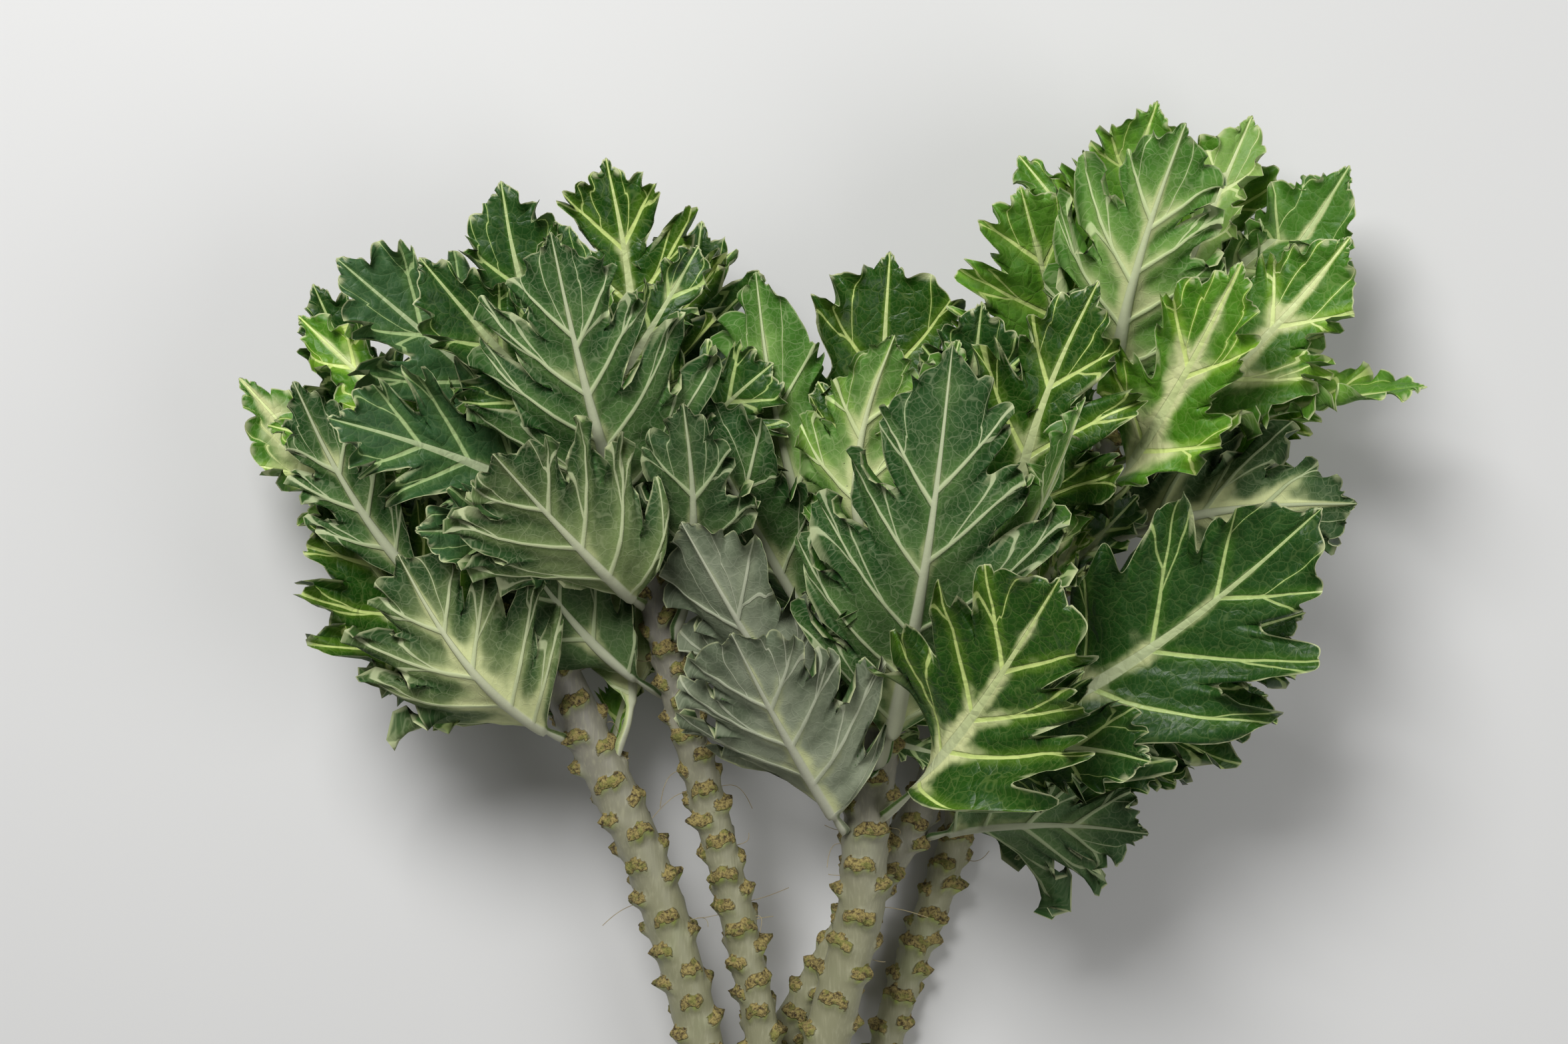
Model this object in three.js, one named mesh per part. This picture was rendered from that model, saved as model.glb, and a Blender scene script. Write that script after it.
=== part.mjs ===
// A bunch of five cut stems of ornamental kale, lying on a flat surface, in millimetres.
//
// +Z is up from the surface, +Y runs along the stems from the cut ends to the leafy heads, and
// the origin is on the surface at the centre of the bunch's box. Each stem is one tapering rod
// and each leaf is one thin shell that starts at its stem. The leaves are first drawn one by one
// from a short list of sizes, and then they settle: each is lifted or lowered until none of them
// touches another, a stem or the surface. A notch between each two cross-sections gives a leaf
// its lobes.

import * as THREE from "three";

// ---------- driving dimensions ----------

const LEAF_ROWS = 8; // spans between cross-sections, from the foot of the leaf to its tip
const MARGINS = [-1, -0.5, 0, 0.5, 1]; // places across the blade, from its left edge to its right
const RIB_SHARE = 0.13; // half the width of the raised midrib, as a share of the half width
const PETIOLE_HALF_WIDTH = 5.5;
const TIP_HALF_WIDTH = 5;
const BLADE_THICKNESS = 0.9;
const FOOT_THICKNESS = 3.6; // the leaf stalk at the stem
const STALK_SHARE = 0.3; // how far up the leaf its stalk thins down to the blade
const WIDEST_AT = 1.35; // over 1 puts the widest part of the blade past its middle
const FULLNESS = 0.62; // under 1 makes the outline of the blade broader
const START_ANGLE = 48; // degrees that a leaf leaves its stem at, up from straight out
const RISE_SHARE = 0.42; // how much of its length a leaf keeps that first direction for
const CUP = 0.55; // radians that the edges of a blade rise from the midrib
const NOTCH = 0.62; // depth of the notches between lobes, as a share of a quarter of the blade

const STEM_SIDES = 10;
const STEM_RINGS = 22;
const STEM_TIP_SHARE = 0.42; // a stem's radius at its growing tip, as a share of the full radius
const STEM_TAPER_SHARE = 0.3; // the leafy share of a stem, over which it thins
const STEM_CLEARANCE = 0.7; // between a stem and the foot of a leaf

const SETTLE_ROUNDS = 180;
const SAMPLES = 3; // points that are kept apart, to each span of a leaf's rows and columns
const LEAF_GAP = 4.1; // aimed at between the middles of two blades
const STEM_GAP = 3;
const SURFACE_GAP = 1.6; // from the surface to the upper side of a blade
const SETTLE_PUSH = 0.45; // share of each overlap that is mended in a round
const SMOOTHING = 0.4; // how much a leaf spreads each push over its blade, at first
const LAST_SMOOTHING = 0.02; // and in the last rounds
const PUSH_SPREAD = 0.5; // how much each round's pushes are spread over a blade
const VOTE_HEIGHT = 10; // a point this far over another leaf has a full vote on their order
const LEAST_SLOPE = 0.4; // blades steeper than this have no wider gap
const LEAST_AREA = 0.01; // smaller triangles, seen in plan, are left out
const STEM_POINTS = 61; // places on each stem that leaves are kept away from
const STEM_STEP = 6;

// ---------- the stems ----------

// Each stem's radius and the points it runs through, from its cut end to its growing tip.
const STEMS = {
  a: {
    radius: 10.5,
    path: [
      [-34, -300, 37], [-34, -270, 40], [-42, -225, 47], [-62, -160, 56],
      [-86, -105, 65], [-116, -42, 77], [-142, 22, 88],
    ],
  },
  b: {
    radius: 8.3,
    path: [
      [-8, -306, 37], [-6, -270, 41], [-12, -225, 49], [-32, -139, 63],
      [-50, -70, 75], [-62, -18, 86], [-76, 68, 98],
    ],
  },
  c: {
    radius: 11,
    path: [
      [15, -298, 43], [15, -265, 48], [23, -225, 56], [35, -178, 65],
      [37, -140, 73], [46, -70, 92], [56, 0, 112],
    ],
  },
  d: {
    radius: 8.5,
    path: [
      [-36, -298, 11], [-18, -270, 16], [7, -228, 25], [32, -186, 34],
      [60, -138, 45], [94, -75, 58], [122, -25, 70],
    ],
  },
  e: {
    radius: 7.8,
    path: [
      [42, -304, 9], [44, -265, 10], [54, -225, 11], [72, -175, 13],
      [88, -125, 16], [128, -20, 30], [172, 92, 66],
    ],
  },
};

// ---------- the leaves, outermost first on each stem ----------

// name, stem, how far below the growing tip it starts, where its tip is, its full width, and
// then, where the leaf is turned, the direction that its upper side faces.
const LEAVES = [
  ["a01", "a", 126, [-170, -16, 110], 96, [0.3, -0.2, -0.9]],
  ["a02", "a", 140, [-110, -14, 86], 50, [0.2, -0.1, -1]],
  ["a03", "a", 140, [-60, -50, 34], 42],
  ["a04", "a", 104, [-208, 12, 94], 88, [0.1, 0.3, 0.9]],
  ["a05", "a", 114, [-192, -46, 58], 64, [0.1, 0.4, 0.9]],
  ["a06", "a", 78, [-217, 60, 108], 58, [0.3, -0.2, -0.9]],
  ["a07", "a", 64, [-248, 64, 62], 58, [0, 0.4, 0.9]],
  ["a08", "a", 43, [-214, 106, 66], 62, [0.1, 0.2, 0.9]],
  ["a09", "a", 90, [-140, -50, 8], 80],
  ["a10", "a", 60, [-178, 60, 12], 86],
  ["b01", "b", 145, [-124, -4, 103], 63, [0.2, -0.3, -0.9]],
  ["b02", "b", 118, [-44, 50, 138], 56, [0, 0, -1]],
  ["b03", "b", 104, [-124, 28, 162], 98, [0.2, -0.1, -1]],
  ["b04", "b", 94, [-160, -4, 148], 60, [0.2, 0.2, 0.9]],
  ["b05", "b", 78, [-198, 45, 140], 80, [0, 0.2, 0.95]],
  ["b06", "b", 82, [-100, 122, 168], 100, [0.1, -0.1, -1]],
  ["b07", "b", 54, [-198, 116, 112], 82, [0.1, 0.2, 0.95]],
  ["b08", "b", 40, [-158, 114, 140], 52, [0.1, 0.1, 1]],
  ["b09", "b", 27, [-126, 150, 104], 64, [0, 0, 1]],
  ["b10", "b", 24, [-80, 162, 86], 96, [0, -0.1, 1]],
  ["b11", "b", 40, [-38, 136, 70], 76, [0, -0.1, 1]],
  ["b12", "b", 56, [-6, 70, 96], 88, [-0.1, 0.1, 0.95]],
  ["b13", "b", 70, [-88, 92, 9], 88],
  ["b14", "b", 96, [-4, 14, 20], 70],
  ["c01", "c", 144, [-22, -50, 152], 96, [0.3, 0, -0.95]],
  ["c02", "c", 122, [-44, -2, 126], 64, [0.5, 0, -0.85]],
  ["c03", "c", 80, [-44, 58, 128], 62, [0.6, 0, -0.8]],
  ["c04", "c", 97, [24, 8, 124], 60],
  ["c05", "c", 62, [-12, 108, 116], 76, [0.5, 0, -0.85]],
  ["c06", "c", 30, [48, 120, 82], 106, [0, -0.1, 1]],
  ["c07", "c", 28, [48, 80, 132], 52, [0, 0, -1]],
  ["c08", "c", 24, [88, 96, 112], 66, [0, -0.1, 1]],
  ["c09", "c", 110, [72, 72, 172], 116, [0.1, 0, -1]],
  ["c10", "c", 134, [116, -26, 184], 106, [-0.1, 0.1, 1]],
  ["c11", "c", 66, [130, 52, 152], 66],
  ["c12", "c", 100, [2, -60, 10], 90],
  ["d01", "d", 78, [234, 4, 132], 116, [0, -0.1, 1]],
  ["d02", "d", 64, [234, -42, 78], 100, [0, 0.1, 1]],
  ["d03", "d", 86, [220, -80, 56], 74, [0, 0.2, 1]],
  ["d04", "d", 101, [198, -99, 66], 60, [0, 0.2, 1]],
  ["d05", "d", 112, [171, -113, 76], 56, [0, 0.1, 1]],
  ["d06", "d", 94, [158, -104, 142], 58, [0, 0.2, 1]],
  ["d07", "d", 24, [138, 104, 122], 90, [0, -0.1, 1]],
  ["d08", "d", 132, [162, -140, 84], 74, [0, 0.2, -0.9]],
  ["d09", "d", 70, [150, -50, 8], 84],
  ["e01", "e", 98, [200, 112, 136], 64, [-0.1, 0, 1]],
  ["e02", "e", 83, [246, 60, 76], 70, [0, 0.3, 0.9]],
  ["e03", "e", 67, [286, 60, 102], 54, [0, 0.9, 0.4]],
  ["e04", "e", 46, [175, 172, 140], 86, [0, 0, -1]],
  ["e05", "e", 15, [168, 188, 92], 72, [0, -0.1, 1]],
  ["e06", "e", 60, [106, 148, 106], 94, [0, 0, 1]],
  ["e07", "e", 24, [212, 182, 58], 88, [-0.1, -0.1, 1]],
  ["e08", "e", 42, [256, 160, 70], 70, [-0.1, 0, 1]],
  ["e09", "e", 53, [252, 126, 98], 70, [-0.2, 0, 1]],
  ["e10", "e", 112, [254, 8, 100], 74, [0.1, 0, -0.9]],
];

// ---------- curves and surfaces ----------

const vector = (p) => new THREE.Vector3(...p);
const smoothstep = (x, from, to) => THREE.MathUtils.smoothstep(x, from, to);
const along = (a, b, t) => new THREE.Vector3().lerpVectors(a, b, t);

const stemCurves = Object.fromEntries(
  Object.entries(STEMS).map(([key, stem]) => [
    key,
    new THREE.CatmullRomCurve3(stem.path.map(vector), false, "centripetal"),
  ]),
);

// A stem thins over its leafy part. t runs from 0 at the cut end to 1 at the growing tip.
function stemRadius(key, t) {
  const thinned = smoothstep(t, 1 - STEM_TAPER_SHARE, 1) * (1 - STEM_TIP_SHARE);
  return STEMS[key].radius * (1 - thinned);
}

// Half the width of a blade: a stalk, a blade that is broadest past its middle, a blunt tip.
function halfWidth(fullWidth, u) {
  const swell = Math.sin(Math.PI * Math.min(u, 1) ** WIDEST_AT) ** FULLNESS;
  const end = THREE.MathUtils.lerp(PETIOLE_HALF_WIDTH, TIP_HALF_WIDTH, u);
  return end + Math.max(0, fullWidth / 2 - end) * swell;
}

const component = (v, unit) => v.clone().addScaledVector(unit, -v.dot(unit));

// The upper side of one leaf before it settles, as rows of points across the blade, and the
// two points where its foot and its tip close.
function drawLeaf([name, stemKey, below, tipPoint, width, faces]) {
  const curve = stemCurves[stemKey];
  const tip = vector(tipPoint);
  const t = 1 - below / curve.getLength();
  const onStem = curve.getPointAt(t);
  const axis = curve.getTangentAt(t);
  const outward = component(tip.clone().sub(onStem), axis).normalize();
  const foot = onStem
    .clone()
    .addScaledVector(outward, stemRadius(stemKey, t) + STEM_CLEARANCE + FOOT_THICKNESS / 2);
  const angle = THREE.MathUtils.degToRad(START_ANGLE);
  const start = outward
    .clone()
    .multiplyScalar(Math.cos(angle))
    .addScaledVector(axis, Math.sin(angle));
  const reach = foot.distanceTo(tip) * RISE_SHARE;
  const midrib = new THREE.QuadraticBezierCurve3(foot, foot.clone().addScaledVector(start, reach), tip);

  // The upper side faces the stem's axis where the leaf starts, and turns to its own direction.
  const upperSide = (u) => {
    const tangent = midrib.getTangent(u);
    const natural = axis.clone().multiplyScalar(tangent.dot(outward));
    natural.addScaledVector(outward, -tangent.dot(axis));
    return component(natural, tangent).normalize();
  };
  let turn = 0;
  if (faces) {
    const middle = midrib.getTangent(0.6);
    const wanted = component(vector(faces), middle).normalize();
    const natural = upperSide(0.6);
    turn = natural.angleTo(wanted) * Math.sign(natural.clone().cross(wanted).dot(middle) || 1);
  }

  const rows = [];
  for (let i = 0; i <= LEAF_ROWS; i += 1) {
    const u = (i / LEAF_ROWS) * 0.97;
    const tangent = midrib.getTangent(u);
    const normal = upperSide(u).applyAxisAngle(tangent, turn * smoothstep(u, 0, 0.6));
    const across = tangent.clone().cross(normal);
    const half = halfWidth(width, u);
    rows.push(
      MARGINS.map((v) =>
        midrib
          .getPoint(u)
          .addScaledVector(across, (half * Math.sin(CUP * v)) / CUP)
          .addScaledVector(normal, (half * (1 - Math.cos(CUP * v))) / CUP),
      ),
    );
  }
  return { name, stemKey, outward, rows, drawn: rows.map((row) => row.map((p) => p.clone())) };
}

// ---------- settling ----------

// Points spread over a leaf, each with the four corners it lies between and its share of them.
function samplesOf() {
  const found = [];
  const rowCount = LEAF_ROWS * SAMPLES;
  const columnCount = (MARGINS.length - 1) * SAMPLES;
  for (let i = 1; i <= rowCount; i += 1) {
    for (let j = 0; j <= columnCount; j += 1) {
      const row = Math.min(Math.floor(i / SAMPLES), LEAF_ROWS - 1);
      const column = Math.min(Math.floor(j / SAMPLES), MARGINS.length - 2);
      const a = i / SAMPLES - row;
      const b = j / SAMPLES - column;
      const spots = [[row, column], [row, column + 1], [row + 1, column], [row + 1, column + 1]];
      const shares = [(1 - a) * (1 - b), (1 - a) * b, a * (1 - b), a * b];
      found.push({ spots, shares, atFoot: row === 0, at: new THREE.Vector3(), slope: 1 });
    }
  }
  return found;
}

const slopeOf = (a, b, c) => {
  const normal = b.clone().sub(a).cross(c.clone().sub(a)).normalize();
  return Math.max(Math.abs(normal.z), LEAST_SLOPE);
};

function placeSamples(leaf) {
  for (const sample of leaf.samples) {
    const corners = sample.spots.map(([row, column]) => leaf.rows[row][column]);
    sample.at.set(0, 0, 0);
    corners.forEach((p, k) => sample.at.addScaledVector(p, sample.shares[k]));
    sample.slope = slopeOf(corners[0], corners[1], corners[2]);
  }
  leaf.box = new THREE.Box3().setFromPoints(leaf.rows.flat());
  leaf.triangles = [];
  for (let i = 0; i < LEAF_ROWS; i += 1) {
    for (let j = 0; j < MARGINS.length - 1; j += 1) {
      for (const spots of [[[i, j], [i, j + 1], [i + 1, j + 1]], [[i, j], [i + 1, j + 1], [i + 1, j]]]) {
        const [a, b, c] = spots.map(([row, column]) => leaf.rows[row][column]);
        const area = (b.x - a.x) * (c.y - a.y) - (c.x - a.x) * (b.y - a.y);
        const box = new THREE.Box3().setFromPoints([a, b, c]);
        if (Math.abs(area) < LEAST_AREA) continue;
        leaf.triangles.push({ a, b, c, box, spots, area, slope: slopeOf(a, b, c) });
      }
    }
  }
}

// The places of a leaf straight above or below a point: how high the point is over each, and
// the share that each corner of the triangle has in it.
function levels(point, leaf) {
  const found = [];
  const { x, y } = point;
  for (const { a, b, c, box, spots, area, slope } of leaf.triangles) {
    if (x < box.min.x || x > box.max.x || y < box.min.y || y > box.max.y) continue;
    const shareB = ((x - a.x) * (c.y - a.y) - (c.x - a.x) * (y - a.y)) / area;
    const shareC = ((b.x - a.x) * (y - a.y) - (x - a.x) * (b.y - a.y)) / area;
    const shareA = 1 - shareB - shareC;
    if (shareA < 0 || shareB < 0 || shareC < 0) continue;
    const height = point.z - (a.z * shareA + b.z * shareB + c.z * shareC);
    found.push({ height, slope, spots, shares: [shareA, shareB, shareC] });
  }
  return found;
}

const apartInPlan = (a, b) =>
  a.min.x > b.max.x || b.min.x > a.max.x || a.min.y > b.max.y || b.min.y > a.max.y;

// Which of two leaves lies over the other: +1 where most of a is over b, 0 where they are
// apart in plan.
function orderOf(a, b) {
  if (apartInPlan(a.box, b.box)) return 0;
  const count = (from, to) => {
    let votes = 0;
    for (const { at } of from.samples) {
      for (const { height } of levels(at, to)) {
        votes += THREE.MathUtils.clamp(height / VOTE_HEIGHT, -1, 1);
      }
    }
    return votes;
  };
  return Math.sign(count(a, b) - count(b, a)) || 1;
}

// Shares out a move between the corners that a place on a leaf lies between.
function push(leaf, { spots, shares }, move) {
  spots.forEach(([row, column], k) => {
    const corner = leaf.pushes[row][column];
    corner.sum.addScaledVector(move, shares[k]);
    corner.weight += shares[k];
  });
}

// Lifts or lowers two leaves until each point of a is a gap over b, or under it where the
// order is -1.
function pushLeavesApart(a, b, order) {
  const move = new THREE.Vector3();
  for (const sample of a.samples) {
    if (b.box.min.x > sample.at.x || b.box.max.x < sample.at.x) continue;
    if (b.box.min.y > sample.at.y || b.box.max.y < sample.at.y) continue;
    for (const level of levels(sample.at, b)) {
      const short = LEAF_GAP / Math.min(level.slope, sample.slope) - level.height * order;
      if (short <= 0) continue;
      push(a, sample, move.set(0, 0, (order * short) / 2));
      push(b, level, move.negate());
    }
  }
}

// Keeps a leaf on one side of each stem: outward of its own, and over or under another one.
function pushOffStems(leaf, stemPoints) {
  const move = new THREE.Vector3();
  for (const sample of leaf.samples) {
    for (const { key, at, radius, axis } of stemPoints) {
      if (key === leaf.stemKey && sample.atFoot) continue;
      move.subVectors(sample.at, at);
      if (Math.abs(move.dot(axis)) > STEM_STEP) continue;
      const sideways = component(move, axis);
      const away = component(leaf.away[key], axis).normalize();
      const height = sideways.dot(away);
      const aside = sideways.addScaledVector(away, -height).length();
      const clear = radius + STEM_GAP;
      if (aside > clear) continue;
      const short = Math.sqrt(clear * clear - aside * aside) - height;
      if (short > 0) push(leaf, sample, away.multiplyScalar(short));
    }
  }
}

// The direction in which a leaf lies off each stem.
function awayFrom(leaf, stemPoints) {
  const sums = Object.fromEntries(Object.keys(STEMS).map((key) => [key, 0]));
  for (const { at: place } of leaf.samples) {
    for (const { key, at, radius } of stemPoints) {
      if (Math.hypot(place.x - at.x, place.y - at.y) > radius + STEM_GAP) continue;
      sums[key] += Math.sign(place.z - at.z);
    }
  }
  const away = Object.fromEntries(
    Object.entries(sums).map(([key, sum]) => [key, new THREE.Vector3(0, 0, sum < 0 ? -1 : 1)]),
  );
  away[leaf.stemKey] = leaf.outward;
  return away;
}

function liftOffSurface(leaf) {
  for (const sample of leaf.samples) {
    const short = SURFACE_GAP / sample.slope - sample.at.z;
    if (short > 0) push(leaf, sample, new THREE.Vector3(0, 0, short));
  }
}

const meanOf = (points) => {
  const mean = new THREE.Vector3();
  points.forEach((p) => mean.addScaledVector(p, 1 / points.length));
  return mean;
};

const neighbours = (grid, i, j) =>
  [grid[i - 1]?.[j], grid[i + 1]?.[j], grid[i][j - 1], grid[i][j + 1]].filter(Boolean);

// Each point of a grid of vectors, mixed with the mean of its neighbours.
const spread = (grid, share) =>
  grid.map((row, i) => row.map((p, j) => along(p, meanOf(neighbours(grid, i, j)), share)));

// Moves each point by its share of the pushes. The pushes are spread over the blade, so that a
// leaf bends instead of denting, and the foot stays on its stem.
function moveLeaf(leaf, smoothing) {
  const own = leaf.pushes.map((row) =>
    row.map(({ sum, weight }) => sum.multiplyScalar(SETTLE_PUSH / Math.max(weight, 0.5))),
  );
  const pushes = spread(spread(own, PUSH_SPREAD), PUSH_SPREAD);
  const shifts = leaf.rows.map((row, i) =>
    row.map((p, j) => p.clone().sub(leaf.drawn[i][j]).addScaledVector(pushes[i][j], i ? 1 : 0)),
  );
  const smooth = spread(shifts, smoothing);
  leaf.rows.slice(1).forEach((row, i) =>
    row.forEach((p, j) => p.addVectors(leaf.drawn[i + 1][j], smooth[i + 1][j])),
  );
}

function settle(leaves) {
  const steps = STEM_POINTS - 1;
  const stemPoints = Object.keys(STEMS).flatMap((key) =>
    Array.from({ length: STEM_POINTS }, (_, k) => ({
      key,
      at: stemCurves[key].getPointAt(k / steps),
      axis: stemCurves[key].getTangentAt(k / steps),
      radius: stemRadius(key, k / steps),
    })),
  );
  leaves.forEach((leaf) => {
    leaf.samples = samplesOf(leaf);
    placeSamples(leaf);
    leaf.away = awayFrom(leaf, stemPoints);
  });
  const pairs = leaves.flatMap((a, i) =>
    leaves.slice(i + 1).map((b) => ({ a, b, order: orderOf(a, b) })),
  );
  for (let round = 0; round < SETTLE_ROUNDS; round += 1) {
    leaves.forEach((leaf) => {
      leaf.pushes = leaf.rows.map((row) => row.map(() => ({ sum: new THREE.Vector3(), weight: 0 })));
    });
    for (const pair of pairs) {
      if (apartInPlan(pair.a.box, pair.b.box)) continue;
      pair.order = pair.order || orderOf(pair.a, pair.b);
      pushLeavesApart(pair.a, pair.b, pair.order);
      pushLeavesApart(pair.b, pair.a, -pair.order);
    }
    const done = smoothstep(round / SETTLE_ROUNDS, 0.2, 0.8);
    const smoothing = THREE.MathUtils.lerp(SMOOTHING, LAST_SMOOTHING, done);
    leaves.forEach((leaf) => {
      pushOffStems(leaf, stemPoints);
      liftOffSurface(leaf);
      moveLeaf(leaf, smoothing);
      placeSamples(leaf);
    });
  }
}

// ---------- solids ----------

// A closed surface through rings of points, closed at each end by one point. The second half of
// a ring has its quads split the other way, so that the two sides of a thin twisted blade fold
// along the same lines and don't cut through each other.
function loft(rings, first, last) {
  const sides = rings[0].length;
  const halfway = Math.floor(sides / 2);
  const points = [first, ...rings.flat(), last];
  const index = [];
  for (let k = 0; k < sides; k += 1) {
    const next = (k + 1) % sides;
    const end = points.length - 1;
    index.push(0, 1 + next, 1 + k);
    index.push(end, end - sides + k, end - sides + next);
    for (let i = 0; i < rings.length - 1; i += 1) {
      const [a, b] = [1 + i * sides + k, 1 + i * sides + next];
      if (k < halfway) index.push(a, b, b + sides, a, b + sides, a + sides);
      else index.push(a, b, a + sides, b, b + sides, a + sides);
    }
  }
  const geometry = new THREE.BufferGeometry().setFromPoints(points);
  geometry.setIndex(index);
  geometry.computeVertexNormals();
  return geometry;
}

// The rows of a leaf with a notched row between each two, so that its edge runs in lobes. The
// notches start where the stalk ends.
function lobedRows(rows) {
  return rows.flatMap((row, i) => {
    const next = rows[i + 1];
    if (!next) return [row];
    const between = row.map((p, j) => along(p, next[j], 0.5));
    const [left, upperLeft, , upperRight, right] = between;
    const notch = NOTCH * smoothstep((i + 0.5) / LEAF_ROWS, STALK_SHARE / 2, 2 * STALK_SHARE);
    left.lerp(upperLeft, notch);
    right.lerp(upperRight, notch);
    return [row, between];
  });
}

// A leaf's cross-section is a lens with sharp edges, three points on its upper side and a
// raised midrib between the inner two of the four on its lower side.
function leafSolid(leaf) {
  const rows = lobedRows(leaf.rows);
  const end = rows.length - 1;
  const normals = rows.map((row, i) => {
    const next = rows[Math.min(i + 1, end)];
    const last = rows[Math.max(i - 1, 0)];
    return row.map((_, j) => {
      const lengthwise = next[j].clone().sub(last[j]);
      const across = row[Math.min(j + 1, 4)].clone().sub(row[Math.max(j - 1, 0)]);
      return across.cross(lengthwise).normalize();
    });
  });
  const rings = rows.map((row, i) => {
    const foot = 1 - smoothstep(i / end, 0, STALK_SHARE);
    const thick = THREE.MathUtils.lerp(BLADE_THICKNESS, FOOT_THICKNESS, foot);
    const below = (j, side, depth) =>
      along(row[2], row[j], side).addScaledVector(normals[i][2], -depth);
    const [left, upperLeft, upper, upperRight, right] = row;
    return [
      left,
      upperLeft,
      upper,
      upperRight,
      right,
      upperRight.clone().addScaledVector(normals[i][3], -thick * 0.8),
      below(3, 2 * RIB_SHARE, thick * 1.5),
      below(1, 2 * RIB_SHARE, thick * 1.5),
      upperLeft.clone().addScaledVector(normals[i][1], -thick * 0.8),
    ];
  });
  const heel = along(rows[0][2], rows[1][2], -0.06).addScaledVector(normals[0][2], -FOOT_THICKNESS / 2);
  const point = along(rows[end][2], rows[end - 1][2], -0.48);
  return loft(rings, heel, point);
}

function stemSolid(key) {
  const curve = stemCurves[key];
  const { normals, binormals } = curve.computeFrenetFrames(STEM_RINGS, false);
  const rings = [];
  for (let i = 0; i <= STEM_RINGS; i += 1) {
    const t = i / STEM_RINGS;
    const radius = stemRadius(key, t);
    rings.push(
      Array.from({ length: STEM_SIDES }, (_, k) => {
        const angle = (2 * Math.PI * k) / STEM_SIDES;
        return curve
          .getPointAt(t)
          .addScaledVector(normals[i], radius * Math.cos(angle))
          .addScaledVector(binormals[i], radius * Math.sin(angle));
      }),
    );
  }
  const bud = curve.getPointAt(1).addScaledVector(curve.getTangentAt(1), stemRadius(key, 1));
  return loft(rings, curve.getPointAt(0), bud);
}

// ---------- the bunch ----------

const finish = (color, roughness) => new THREE.MeshStandardMaterial({ color, roughness });
const STEM_FINISH = finish(0xc3c9b0, 0.6);
const DARK_LEAF = finish(0x2f5d33, 0.5);
const LIGHT_LEAF = finish(0x6f9a4a, 0.5);
const GREY_LEAF = finish(0x8f9c7a, 0.8); // the matte underside of an outer leaf
const LIGHT_LEAVES = ["a03", "a06", "a07", "b06", "c07", "c11", "e01", "e02", "e04", "e05", "e08"];
const GREY_LEAVES = ["a01", "a02", "b02", "b03", "b05", "c01", "c02", "c05", "c09", "d08"];

function finishOf(name) {
  if (LIGHT_LEAVES.includes(name)) return LIGHT_LEAF;
  return GREY_LEAVES.includes(name) ? GREY_LEAF : DARK_LEAF;
}

const leaves = LEAVES.map(drawLeaf);
settle(leaves);

const bunch = new THREE.Group();
for (const key of Object.keys(STEMS)) {
  const stem = new THREE.Mesh(stemSolid(key), STEM_FINISH);
  stem.name = `stem_${key}`;
  bunch.add(stem);
}
for (const leaf of leaves) {
  const mesh = new THREE.Mesh(leafSolid(leaf), finishOf(leaf.name));
  mesh.name = `leaf_${leaf.name}`;
  bunch.add(mesh);
}

// The origin goes to the middle of the box, on the surface.
const box = new THREE.Box3().setFromObject(bunch);
const centre = box.getCenter(new THREE.Vector3());
bunch.position.set(-centre.x, -centre.y, -box.min.z);

export default bunch;
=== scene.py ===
# %% [markdown]
# # A bunch of ornamental kale
#
# Five cut stems of kale lie on a pale table, each with an open head of lobed, frilled leaves.
# The construction is already there: a packed CAD model with one thin solid for each leaf and
# one rod for each stem. Here those solids get their looks. Every leaf is rebuilt as a fine mesh
# on the middle of its solid, with teeth, frills, ribs and veins, and every stem gets its scars.
#
# Lengths inside the makers are in millimetres, because a leaf is easier to think of that way.

# %% Load the packed model
import math
from collections import namedtuple

import bmesh
import bpy
import numpy as np
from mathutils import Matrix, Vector


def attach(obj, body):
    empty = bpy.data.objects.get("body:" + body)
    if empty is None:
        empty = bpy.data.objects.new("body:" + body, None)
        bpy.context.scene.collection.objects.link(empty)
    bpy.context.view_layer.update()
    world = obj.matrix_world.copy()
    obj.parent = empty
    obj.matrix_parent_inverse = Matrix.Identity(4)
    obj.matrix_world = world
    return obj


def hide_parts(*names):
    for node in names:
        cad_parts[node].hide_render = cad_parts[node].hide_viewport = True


MM = 0.001  # metres in a millimetre

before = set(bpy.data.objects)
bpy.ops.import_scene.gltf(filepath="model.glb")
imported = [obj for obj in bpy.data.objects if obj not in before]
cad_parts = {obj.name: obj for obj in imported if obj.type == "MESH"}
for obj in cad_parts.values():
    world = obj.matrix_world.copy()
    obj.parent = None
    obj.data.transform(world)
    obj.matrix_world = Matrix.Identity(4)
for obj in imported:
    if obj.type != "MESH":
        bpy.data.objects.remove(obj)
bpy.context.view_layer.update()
leaf_nodes = sorted(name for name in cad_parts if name.startswith("leaf_"))
stem_nodes = sorted(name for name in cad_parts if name.startswith("stem_"))

# %% [markdown]
# ## The view
#
# The bunch lies down and is looked at from straight above, so up in the view is the way the
# stems grow. A long lens keeps the heads near the camera from swelling. The camera could also
# be aimed with a constraint, but a fixed place is easier to repeat.

# %% Place the camera
VIEW_SHIFT = Vector((-0.0172, 0.0596))  # from the middle of the bunch to the middle of the view
VIEW_DISTANCE = 1.8  # from the camera to the height of the leaves
LEAF_HEIGHT = 0.0912
VIEW_WIDTH = 0.7065  # how much the view spans there, from side to side
VIEW_DEPTH = 10  # as far as the camera sees
SENSOR_WIDTH = 36

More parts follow.
